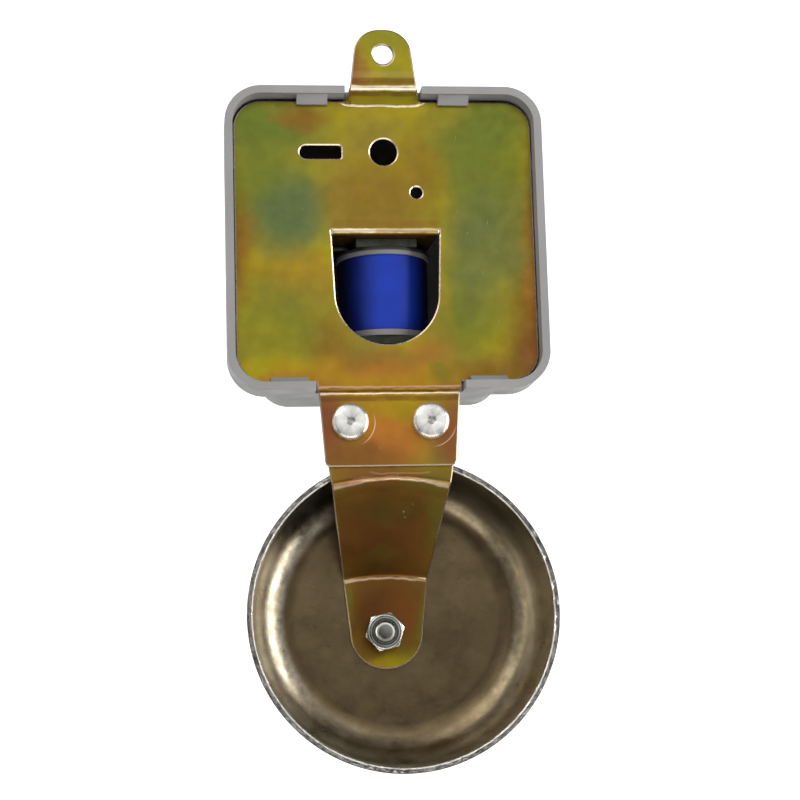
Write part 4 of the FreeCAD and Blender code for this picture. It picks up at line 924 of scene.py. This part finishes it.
def make_base_plate(settings):
    """The back plate with its hanging tab, holes, window, bent tongue and lower tab."""
    sizes, colours = settings.sizes, settings.colours
    low, high = mm_box("base_plate")
    side, top, bottom = high.x, -10.05, -75.15
    outline = rounded(mirrored([
        (5.9, high.z, 5.85), (7.65, -8.0, 0), (8.3, top, 0.9), (side, top, 6.4),
        (side, bottom, 6.4), (16.3, bottom, 0.3), (16.3, -76.85, 0), (15.9, -77.65, 0),
        (14.7, low.z, 1.3)]))
    depth, levels = plate_depth(sizes.sheet_wave / MM)
    levels = sorted(set(round(level, 3) for level in levels))
    window_top, half, round_half, centre = -41.5, 12.3, 11.75, -54.9
    root = window_top + OUTER_BEND
    arc = [Vector((round_half * math.cos(math.radians(a)),
                   centre + round_half * math.sin(math.radians(a))))
           for a in range(0, -181, -3)]
    relief = 0.1
    window = [Vector((-half, root)), Vector((half, root)), Vector((half + relief, root)),
              Vector((half + relief, window_top + relief)), Vector((half, window_top))]
    window += arc
    window += [Vector((-half, window_top)), Vector((-half - relief, window_top + relief)),
               Vector((-half - relief, root))]
    slot = rounded([(9.6, -20.45, 0.6), (19.2, -20.45, 1.58), (19.2, -23.65, 1.58),
                    (9.6, -23.65, 0.6)])
    holes = [circle(0, 0, 2.3), circle(0, -22.05, 3.15), circle(-7.3, -31.55, 1.4),
             circle(RIVET_SIDE, RIVET_HEIGHT, RIVET_HOLE),
             circle(-RIVET_SIDE, RIVET_HEIGHT, RIVET_HOLE), slot]
    outlines = [divided(o, 0.55, levels) for o in [outline, window, *holes]]
    shape = bmesh.new()
    add_sheet(shape, outlines, sizes, levels, surface_of(depth),
              lambda p: abs(p.y - root) < 1e-4 and abs(p.x) < half + 1e-4)

    turn_length = OUTER_BEND * math.pi / 2
    bend_front = PANEL_BACK - OUTER_BEND
    straight = centre - window_top

    def tongue(x, s):
        wave = (sizes.sheet_wave / MM) * waves(x, root, 17.0, 1.5) * smooth_step(1 - s / 1.0)
        angle = min(s, turn_length) / OUTER_BEND
        normal = Vector((0.0, math.cos(angle), -math.sin(angle)))
        place = Vector((x, bend_front, root)) + normal * OUTER_BEND
        place.y += wave - max(0.0, s - turn_length)
        return place, normal

    def flat(y):
        return turn_length + (bend_front - y)

    tube_low, tube_high = mm_box("guide_tube")
    pin_low, pin_high = mm_box("terminal_pin")
    tongue_centre = flat(PANEL_BACK + straight)
    tongue_line = [Vector((half, 0.0)), Vector((half, turn_length))]
    tongue_line += [Vector((round_half * math.cos(math.radians(a)),
                            tongue_centre + round_half * math.sin(math.radians(a))))
                    for a in range(0, 181, 3)]
    tongue_line += [Vector((-half, turn_length)), Vector((-half, 0.0))]
    rows = [turn_length * i / 10 for i in range(11)]
    tube, pin = (tube_low + tube_high) / 2, (pin_low + pin_high) / 2
    tongue_holes = [circle(tube.x, flat(tube.y), 3.75), circle(pin.x, flat(pin.y), 1.08)]
    tongue_outlines = [divided(o, 0.55, rows) for o in [tongue_line, *tongue_holes]]
    add_sheet(shape, tongue_outlines, sizes, rows, tongue, lambda p: abs(p.y) < 1e-4)
    skin = passivated("plate_passivation", colours, PLATE_PATCHES, PLATE_BEND_LIGHT, PRESSED_ARC_HIGHLIGHTS)
    edge = cut_metal("plate_cut_edge", colours.cut_edge, -76.0, -11.5)
    sheet_object("base_plate_sheet", shape, [skin, edge], "housing", ["base_plate"])


def make_gong_bracket(settings):
    """The bracket that leans forward into the gong, its two bends a little arched."""
    sizes, colours = settings.sizes, settings.colours
    low, high = mm_box("gong_bracket")
    line = Profile([(high.z, BRACKET_BACK, 0), (-98.15, BRACKET_BACK, 2.0),
                    (-117.95, LOBE_BACK, 1.2), (low.z, LOBE_BACK, 0)])
    wave = sizes.sheet_wave / MM

    def depth(x, z):
        upper = smooth_step((z + 112.0) / 8.0)
        lower = 1 - upper
        half = 14.0 * upper + 9.75 * lower
        rise = (1.5 * upper + 0.9 * lower) * max(0.0, 1 - (x / half) ** 2)
        rise *= smooth_step((high.z - 2.0 - z) / 12.0) * smooth_step((z + 129.0) / 8.0)
        return line.depth(z - rise) + wave * waves(x, z, 12.0, 7.5)

    outline = rounded(mirrored([
        (14.1, high.z, 0.3), (14.1, -94.05, 20.0), (9.75, -117.95, 0), (8.4, SCREW_HEIGHT, 0),
        (8.4, low.z, 8.3)]))
    levels = set()
    for shift in (0.0, 0.5, 1.0, 1.5):
        levels |= {round(level + shift, 2) for level in line.levels()[1:-1]}
    levels = sorted(levels)
    thinned = [levels[0]]
    for level in levels:
        if level - thinned[-1] > 0.1:
            thinned.append(level)
    holes = [circle(RIVET_SIDE, RIVET_HEIGHT, RIVET_HOLE),
             circle(-RIVET_SIDE, RIVET_HEIGHT, RIVET_HOLE),
             circle(SCREW_SIDE, SCREW_HEIGHT, 2.6)]
    outlines = [divided(o, 0.55, thinned) for o in [outline, *holes]]
    shape = bmesh.new()
    add_sheet(shape, outlines, sizes, thinned, surface_of(depth), lambda p: False)
    skin = passivated("bracket_passivation", colours, BRACKET_PATCHES, BRACKET_BEND_LIGHT,
                      waver=0.45)
    edge = cut_metal("bracket_cut_edge", scaled(colours.cut_edge, 0.42))
    sheet_object("gong_bracket_sheet", shape, [skin, edge], "housing", ["gong_bracket"])


def make_cover(settings):
    """The moulded cover with its hooks."""
    grey = moulded("cover_plastic", settings.colours.cover_grey)
    refined_copy("cover", "cover_moulding", "housing", grey,
                 settings.sizes.moulded_edge, 30.0)


def make_bracket_rivets(settings):
    """Two solid rivets with turned heads."""
    back, foot, head_back = STEP_BACK, -6.0, -2.4
    profile = [(head_back - 0.30, 0), (head_back - 0.28, 0.45), (head_back - 0.21, 0.75),
               (head_back - 0.11, 1.0), (head_back - 0.06, 1.3), (head_back - 0.04, 2.4),
               (head_back - 0.08, 3.30), (head_back - 0.22, 3.70), (head_back - 0.48, 3.97),
               (head_back - 0.85, 4.10), (back + 0.1, 4.10), (back, 4.03), (back, 2.0),
               (foot, 2.0), (foot, 3.55), (foot - 0.25, 3.6), (foot - 0.9, 3.45),
               (foot - 1.15, 3.0), (foot - 1.2, 0)]
    for name, x in (("left_rivet", RIVET_SIDE), ("right_rivet", -RIVET_SIDE)):
        centre = (x, 0.0, RIVET_HEIGHT)
        metal = rivet_metal(name + "_metal", settings.colours, centre)
        mesh = lathe(name, centre, profile, 96)
        turned_piece(name, mesh, metal, "housing", ["bracket_rivets"], 50.0)


def make_gong(settings):
    """The pressed gong, open to the wall, with a rough sheared rim."""
    low, high = mm_box("gong")
    centre = ((low.x + high.x) / 2, 0.0, (low.z + high.z) / 2)
    rim, face, radius, wall = high.y, low.y, (high.x - low.x) / 2, 1.3
    throat = radius - 0.8
    floor = face + wall
    outer = rounded([(face, 0, 0), (face, throat, 10.3), (rim, radius, 0.25),
                     (rim, radius - wall, 0.25), (floor, throat - wall, 9.0), (floor, 0, 0)],
                    closed=False, step=5.0)
    profile = []
    for start, end in zip(outer, outer[1:]):
        steps = max(1, round((end - start).length / 2.4))
        profile += [start.lerp(end, i / steps) for i in range(steps)]
    profile.append(outer[-1])
    burr = settings.sizes.rim_burr / MM

    def rough_rim(number, angle):
        near = smooth_step((profile[number].x - rim + 0.6) / 0.5)
        around = Vector((math.cos(angle) * 22, math.sin(angle) * 22, 0.3 * number))
        jag = noise.noise(around) + 0.6 * noise.noise(around * 3)
        return (-burr * 0.5 * near * abs(jag), -burr * near * abs(jag + 0.2))

    mesh = lathe("gong_cup", centre, [(p.x, p.y) for p in profile], 288, rough_rim)
    metal = gong_metal("gong_steel", settings.colours.gong_steel, centre)
    turned_piece("gong_cup", mesh, metal, "gong", ["gong"], 60.0)


def make_gong_fastenings(settings):
    """Screw, washer and nut that hold the gong on its bracket."""
    colours = settings.colours
    zinc, painted_glint, edge = colours.zinc, colours.painted_glint, settings.sizes.metal_edge
    centre = (SCREW_SIDE, 0.0, SCREW_HEIGHT)
    # Screw end: a darker centre, a painted highlight ring on the chamfer and a painted shadow ring
    # just outside it.
    stud = ringed_metal("screw_zinc", zinc, centre, (
        (0.6, 0.8, scaled(zinc, 0.7), 0.7), (1.95, 0.28, painted_glint, 0.55),
        (2.45, 0.12, scaled(zinc, 0.15), 0.9)))
    # Nut face: a painted shadow ring round the bore, thin painted highlight rings, and a painted
    # glint at the corners.
    face = ringed_metal("nut_zinc", scaled(zinc, 0.75), centre, (
        (2.85, 0.30, scaled(zinc, 0.3), 0.8), (3.25, 0.10, scaled(zinc, 2.6), 0.6),
        (3.80, 0.10, scaled(zinc, 2.8), 0.7), (4.35, 0.20, painted_glint, 0.6)))
    # Painted highlight on the nut's rounded edges.
    glint_edge = cut_metal("nut_highlight_edge", painted_glint)
    plain = turned_metal("washer_zinc", scaled(zinc, 2.4), centre, (1.0, 0.0, 1.0), 0.25)
    refined_copy("gong_screw", "gong_screw_turned", "housing", stud, edge)
    refined_copy("gong_washer", "gong_washer_stamped", "housing", plain, edge)
    refined_copy("gong_nut", "gong_nut_pressed", "housing", face, edge * 2, 18.0,
                 glint_edge)


def make_yoke(settings):
    """The bent steel strip round the coil."""
    # Near black, as painted shade under the tongue.
    steel = mottled("yoke_shaded_dark", settings.colours.yoke_steel, 0.3, 2.5, (0.4, 0.6),
                    0.6, 0.5, 0.01, 0.3)
    refined_copy("yoke", "yoke_strip", "housing", steel,
                 settings.sizes.metal_edge)


def make_coil(settings):
    """Bobbin, winding and the blue film round it."""
    colours = settings.colours
    # The tongue's shadow is painted on the bobbin above -44.25 mm.
    shell = painted_shadow_above("bobbin_plastic", colours.bobbin, colours.bobbin_shadow, -44.25)
    refined_copy("coil_bobbin", "bobbin_moulding", "housing", shell,
                 settings.sizes.moulded_edge)
    dress_node("coil_winding", mottled("winding_enamel", colours.copper, 0.2, 0.5,
                                       (0.25, 0.35), 0.9, 0.3, 0.02))
    low, high = mm_box("coil_wrap")
    axis = (low + high) / 2
    radius = (high.x - low.x) / 2
    shape = bmesh.new()
    turns, rows, thickness = 132, 10, 0.12
    grid = []
    for i in range(turns + 1):
        angle = math.radians(200.0 + 376.0 * i / turns)
        far = radius - 0.25 + 0.13 * smooth_step((i - turns + 6) / 6.0)
        for side in (0.0, thickness):
            column = []
            for j in range(rows + 1):
                height = low.z + (high.z - low.z) * j / rows
                place = Vector((axis.x + (far + side) * math.cos(angle),
                                axis.y + (far + side) * math.sin(angle), height))
                column.append(shape.verts.new(place * MM))
            grid.append(column)
    for i in range(turns):
        inner, outer, next_inner, next_outer = grid[2 * i:2 * i + 4]
        for j in range(rows):
            shape.faces.new([outer[j], next_outer[j], next_outer[j + 1], outer[j + 1]])
            shape.faces.new([inner[j + 1], next_inner[j + 1], next_inner[j], inner[j]])
        for j in (0, rows):
            shape.faces.new([inner[j], next_inner[j], next_outer[j], outer[j]])
    for inner, outer in (grid[:2], grid[-2:]):
        for j in range(rows):
            shape.faces.new([inner[j], outer[j], outer[j + 1], inner[j + 1]])
    mesh = closed_up("coil_film", shape)
    mesh.materials.append(film("coil_film_blue", colours, axis.x - 0.3))
    set_smooth(mesh, 40.0)
    add_object("coil_film", mesh, "housing", ["coil_wrap"])


def make_guide(settings):
    """Guide tube with its retainer, cap, bush and buffer."""
    colours = settings.colours
    low, high = mm_box("guide_tube")
    centre = ((low.x + high.x) / 2, (low.y + high.y) / 2, 0.0)
    brass = turned_metal("tube_brass", colours.brass, centre, (1.0, 1.0, 0.0), 0.3)
    nylon = moulded("cap_nylon", colours.nylon, (0.35, 0.5))
    edge = settings.sizes.metal_edge
    refined_copy("guide_tube", "guide_tube_drawn", "housing", brass, edge)
    spring = mottled("retainer_spring_steel", (0.30, 0.29, 0.27), 0.15, 1.5, (0.25, 0.4), 1.0)
    refined_copy("tube_retainer", "tube_retainer_stamped", "housing", spring,
                 edge * 0.6)
    refined_copy("tube_cap", "tube_cap_moulded", "housing", nylon, edge)
    dress_node("guide_bush", nylon)
    dress_node("rubber_buffer", mottled("buffer_rubber", colours.black, 0.2, 1.0, (0.6, 0.8)))


def make_striker(settings):
    """Plunger, rod and tip."""
    colours = settings.colours
    low, high = mm_box("striker_rod")
    centre = ((low.x + high.x) / 2, (low.y + high.y) / 2, 0.0)
    edge = settings.sizes.metal_edge
    iron = turned_metal("plunger_iron", (0.38, 0.37, 0.36), centre, (1.0, 1.0, 0.0), 0.35)
    brass = mottled("rod_brass", colours.brass, 0.14, 2.0, (0.2, 0.34), 1.0, 0.4, 0.004)
    nylon = moulded("tip_nylon", colours.nylon, (0.35, 0.5))
    refined_copy("plunger", "plunger_turned", "striker", iron, edge)
    refined_copy("striker_rod", "striker_rod_drawn", "striker", brass, edge)
    refined_copy("striker_tip", "striker_tip_moulded", "striker", nylon, edge)


def make_return_spring(settings):
    """The wound return spring, built at rest length; the real spring shortens as the plunger comes
    down.
    """
    low, high = mm_box("return_spring")
    wire = 0.2
    mean = (high.x - low.x) / 2 - wire
    axis = (low + high) / 2
    shape = bmesh.new()
    turns, around, sides = 6.0, 30, 10
    steps = int(turns * around)
    rings = []
    for i in range(steps + 1):
        part = i / steps
        angle = 2 * math.pi * turns * part
        height = low.z + wire + (high.z - low.z - 2 * wire) * part
        out = Vector((math.cos(angle), math.sin(angle), 0.0))
        middle = Vector((axis.x, axis.y, height)) + out * mean
        rings.append([shape.verts.new((middle + (
            out * math.cos(2 * math.pi * k / sides)
            + Vector((0, 0, 1)) * math.sin(2 * math.pi * k / sides)) * wire) * MM)
            for k in range(sides)])
    for ring, following in zip(rings, rings[1:]):
        for k in range(sides):
            m = (k + 1) % sides
            shape.faces.new([ring[k], ring[m], following[m], following[k]])
    shape.faces.new(rings[0])
    shape.faces.new(rings[-1])
    mesh = closed_up("return_spring_wound", shape)
    wire_steel = mottled("spring_wire", (0.42, 0.41, 0.39), 0.15, 0.8, (0.2, 0.3), 1.0)
    mesh.materials.append(wire_steel)
    set_smooth(mesh, 50.0)
    spring = add_object("return_spring_wound", mesh, "housing", ["return_spring"])
    height = (high.z - low.z) * MM
    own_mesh(spring)


def make_terminals(settings):
    """Terminal block with its poles, clamp screws and pin."""
    colours = settings.colours
    edge = settings.sizes.metal_edge
    black = moulded("terminal_plastic", colours.black, (0.3, 0.45))
    brass = mottled("pole_brass", colours.brass, 0.12, 1.2, (0.22, 0.36), 1.0)
    zinc = mottled("clamp_zinc", scaled(colours.zinc, 2.6), 0.12, 1.0, (0.2, 0.35), 1.0)
    pin = mottled("pin_steel", scaled(colours.zinc, 2.4), 0.15, 1.0, (0.25, 0.4), 1.0)
    refined_copy("terminal_block", "terminal_block_moulded", "housing", black,
                 edge)
    refined_copy("terminal_poles", "terminal_poles_turned", "housing", brass, edge)
    refined_copy("clamp_screws", "clamp_screws_turned", "housing", zinc,
                 edge * 0.6)
    refined_copy("terminal_pin", "terminal_pin_headed", "housing", pin, edge)


def make_coil_leads(settings):
    """The two sleeved coil ends."""
    sleeve = mottled("lead_sleeving", settings.colours.sleeve, 0.12, 0.8, (0.5, 0.65), 0.0,
                     0.25, 0.03)
    dress_node("coil_start_lead", sleeve)
    dress_node("coil_end_lead", sleeve)


# ---------------------------------------------------------------- stage
def stage_material(name, colour, glow):
    """A matt stage surface; with a glow it looks whiter to the eye than the light it gives."""
    made = Finish(name)
    made.surface(colour, 0.9, 0.0, None, 0.2)
    if glow:
        paths = made.add("ShaderNodeLightPath").outputs
        seen = made.maths("MAXIMUM", paths["Is Camera Ray"], paths["Is Glossy Ray"])
        seen = made.maths("MAXIMUM", seen, paths["Is Transmission Ray"])
        made.shader.inputs["Emission Color"].default_value = (1.0, 1.0, 1.0, 1.0)
        made.feed(made.shader.inputs["Emission Strength"], made.maths("MULTIPLY", seen, glow))
    return made.material


def add_lamp(name, place, aim, size, watts):
    """A soft rectangular lamp."""
    lamp = bpy.data.lights.new(name, "AREA")
    lamp.shape = "RECTANGLE"
    lamp.size, lamp.size_y = size
    lamp.energy = watts
    holder = bpy.data.objects.new(name, lamp)
    bpy.context.scene.collection.objects.link(holder)
    holder.location = place
    holder.rotation_euler = (Vector(aim) - Vector(place)).to_track_quat("-Z", "Y").to_euler()


def make_camera():
    """The camera behind the bell, a little below its middle."""
    data = bpy.data.cameras.new("camera")
    data.sensor_width = 36.0
    data.lens = 85.5
    camera = bpy.data.objects.new("camera", data)
    bpy.context.scene.collection.objects.link(camera)
    right = Vector((-0.993754, 0.108040, -0.027942))
    up = Vector((-0.010542, 0.158378, 0.987323))
    back = Vector((0.111096, 0.981450, -0.156250))
    turned = Matrix((right, up, back)).transposed().to_4x4()
    camera.matrix_world = Matrix.Translation((0.04501, 0.41337, -0.14571)) @ turned
    bpy.context.scene.camera = camera


def add_panel(name, corners, material):
    """A flat part of the stage."""
    mesh = bpy.data.meshes.new(name)
    mesh.from_pydata(corners, [], [tuple(range(len(corners)))])
    mesh.materials.append(material)
    panel = bpy.data.objects.new(name, mesh)
    bpy.context.scene.collection.objects.link(panel)


def make_stage(settings):
    """Floor, backdrop, room light, lamps and camera."""
    stage = settings.stage
    level, wide, deep, high = -stage.floor_drop, 4.0, -stage.backdrop, 2.0
    add_panel("floor", [(-wide, deep, level), (wide, deep, level), (wide, 6.0, level),
                        (-wide, 6.0, level)], stage_material("floor_pale", (0.8,) * 3, 0.0))
    add_panel("backdrop", [(-wide, deep, level), (wide, deep, level), (wide, deep, high),
                           (-wide, deep, high)],
              stage_material("backdrop_white", (0.8,) * 3, 0.85))

    world = bpy.data.worlds.new("room")
    bpy.context.scene.world = world
    world.use_nodes = True
    glow = world.node_tree.nodes["Background"]
    glow.inputs["Color"].default_value = (1.0, 1.0, 1.0, 1.0)
    glow.inputs["Strength"].default_value = stage.room
    middle = (0.0, 0.0, -0.08)
    for name, place, size, watts in (
            ("front_lamp", (-0.1, 1.15, 0.38), (1.2, 0.9), stage.front_power),
            ("low_lamp", (0.0, 0.95, -1.0), (1.4, 0.5), stage.low_power),
            ("key_lamp", (0.6, 0.7, 0.7), (0.8, 0.8), stage.key_power),
            ("bright_side_lamp", (-0.70, 0.30, -0.10), (0.3, 0.8), stage.bright_side),
            ("dim_side_lamp", (0.75, 0.25, -0.10), (0.25, 0.8), stage.dim_side)):
        add_lamp(name, place, middle, size, watts)
    make_camera()
    bpy.context.scene.view_settings.view_transform = "Standard"


# ---------------------------------------------------------------- operators and panel
class BellOperator:
    """What all the bell's operators share."""

    bl_options = {"REGISTER", "UNDO"}

    def execute(self, context):
        self.make(context.scene.wall_bell)
        return {"FINISHED"}


class WALLBELL_OT_stage(BellOperator, bpy.types.Operator):
    """Set up the floor, backdrop, lamps and camera"""

    bl_idname = "wall_bell.stage"
    bl_label = "Stage"
    make = staticmethod(make_stage)


class WALLBELL_OT_base_plate(BellOperator, bpy.types.Operator):
    """Build the base plate from sheet"""

    bl_idname = "wall_bell.base_plate"
    bl_label = "Base plate"
    make = staticmethod(make_base_plate)


class WALLBELL_OT_cover(BellOperator, bpy.types.Operator):
    """Build the moulded cover"""

    bl_idname = "wall_bell.cover"
    bl_label = "Cover"
    make = staticmethod(make_cover)


class WALLBELL_OT_gong_bracket(BellOperator, bpy.types.Operator):
    """Build the gong bracket from sheet"""

    bl_idname = "wall_bell.gong_bracket"
    bl_label = "Gong bracket"
    make = staticmethod(make_gong_bracket)


class WALLBELL_OT_bracket_rivets(BellOperator, bpy.types.Operator):
    """Build the two rivets of the bracket"""

    bl_idname = "wall_bell.bracket_rivets"
    bl_label = "Bracket rivets"
    make = staticmethod(make_bracket_rivets)


class WALLBELL_OT_gong(BellOperator, bpy.types.Operator):
    """Build the gong"""

    bl_idname = "wall_bell.gong"
    bl_label = "Gong"
    make = staticmethod(make_gong)


class WALLBELL_OT_gong_fastenings(BellOperator, bpy.types.Operator):
    """Build the gong's screw, washer and nut"""

    bl_idname = "wall_bell.gong_fastenings"
    bl_label = "Gong fastenings"
    make = staticmethod(make_gong_fastenings)


class WALLBELL_OT_yoke(BellOperator, bpy.types.Operator):
    """Build the yoke"""

    bl_idname = "wall_bell.yoke"
    bl_label = "Yoke"
    make = staticmethod(make_yoke)


class WALLBELL_OT_coil(BellOperator, bpy.types.Operator):
    """Build the bobbin, winding and film"""

    bl_idname = "wall_bell.coil"
    bl_label = "Coil"
    make = staticmethod(make_coil)


class WALLBELL_OT_guide(BellOperator, bpy.types.Operator):
    """Build the guide tube and what sits on it"""

    bl_idname = "wall_bell.guide"
    bl_label = "Guide tube"
    make = staticmethod(make_guide)


class WALLBELL_OT_striker(BellOperator, bpy.types.Operator):
    """Build the plunger, rod and tip"""

    bl_idname = "wall_bell.striker"
    bl_label = "Striker"
    make = staticmethod(make_striker)


class WALLBELL_OT_return_spring(BellOperator, bpy.types.Operator):
    """Build the return spring"""

    bl_idname = "wall_bell.return_spring"
    bl_label = "Return spring"
    make = staticmethod(make_return_spring)


class WALLBELL_OT_terminals(BellOperator, bpy.types.Operator):
    """Build the terminal block and its fittings"""

    bl_idname = "wall_bell.terminals"
    bl_label = "Terminals"
    make = staticmethod(make_terminals)


class WALLBELL_OT_coil_leads(BellOperator, bpy.types.Operator):
    """Finish the two coil leads"""

    bl_idname = "wall_bell.coil_leads"
    bl_label = "Coil leads"
    make = staticmethod(make_coil_leads)


OPERATORS = (
    WALLBELL_OT_stage, WALLBELL_OT_base_plate, WALLBELL_OT_cover, WALLBELL_OT_gong_bracket,
    WALLBELL_OT_bracket_rivets, WALLBELL_OT_gong, WALLBELL_OT_gong_fastenings,
    WALLBELL_OT_yoke, WALLBELL_OT_coil, WALLBELL_OT_guide, WALLBELL_OT_striker,
    WALLBELL_OT_return_spring, WALLBELL_OT_terminals, WALLBELL_OT_coil_leads,
)


class WALLBELL_PT_panel(bpy.types.Panel):
    """The bell's settings and its operators"""

    bl_idname = "WALLBELL_PT_panel"
    bl_label = "Wall bell"
    bl_space_type = "VIEW_3D"
    bl_region_type = "UI"
    bl_category = "Wall bell"

    def draw(self, context):
        settings = context.scene.wall_bell
        for group in (settings.sizes, settings.colours, settings.stage):
            box = self.layout.box()
            for name in group.bl_rna.properties.keys():
                if name not in ("rna_type", "name"):
                    box.prop(group, name)
        column = self.layout.column()
        for operator in OPERATORS:
            column.operator(operator.bl_idname)


CLASSES = (BellSizes, BellColours, BellStage, BellSettings, *OPERATORS, WALLBELL_PT_panel)


def register():
    """Register the classes and hang the settings on the scene."""
    for cls in CLASSES:
        bpy.utils.register_class(cls)
    bpy.types.Scene.wall_bell = PointerProperty(type=BellSettings)


def unregister():
    """Take the settings and classes away again."""
    del bpy.types.Scene.wall_bell
    for cls in reversed(CLASSES):
        bpy.utils.unregister_class(cls)


def main():
    """Build everything in order."""
    register()
    for operator in OPERATORS:
        group, name = operator.bl_idname.split(".")
        getattr(getattr(bpy.ops, group), name)()


if __name__ == "__main__":
    main()
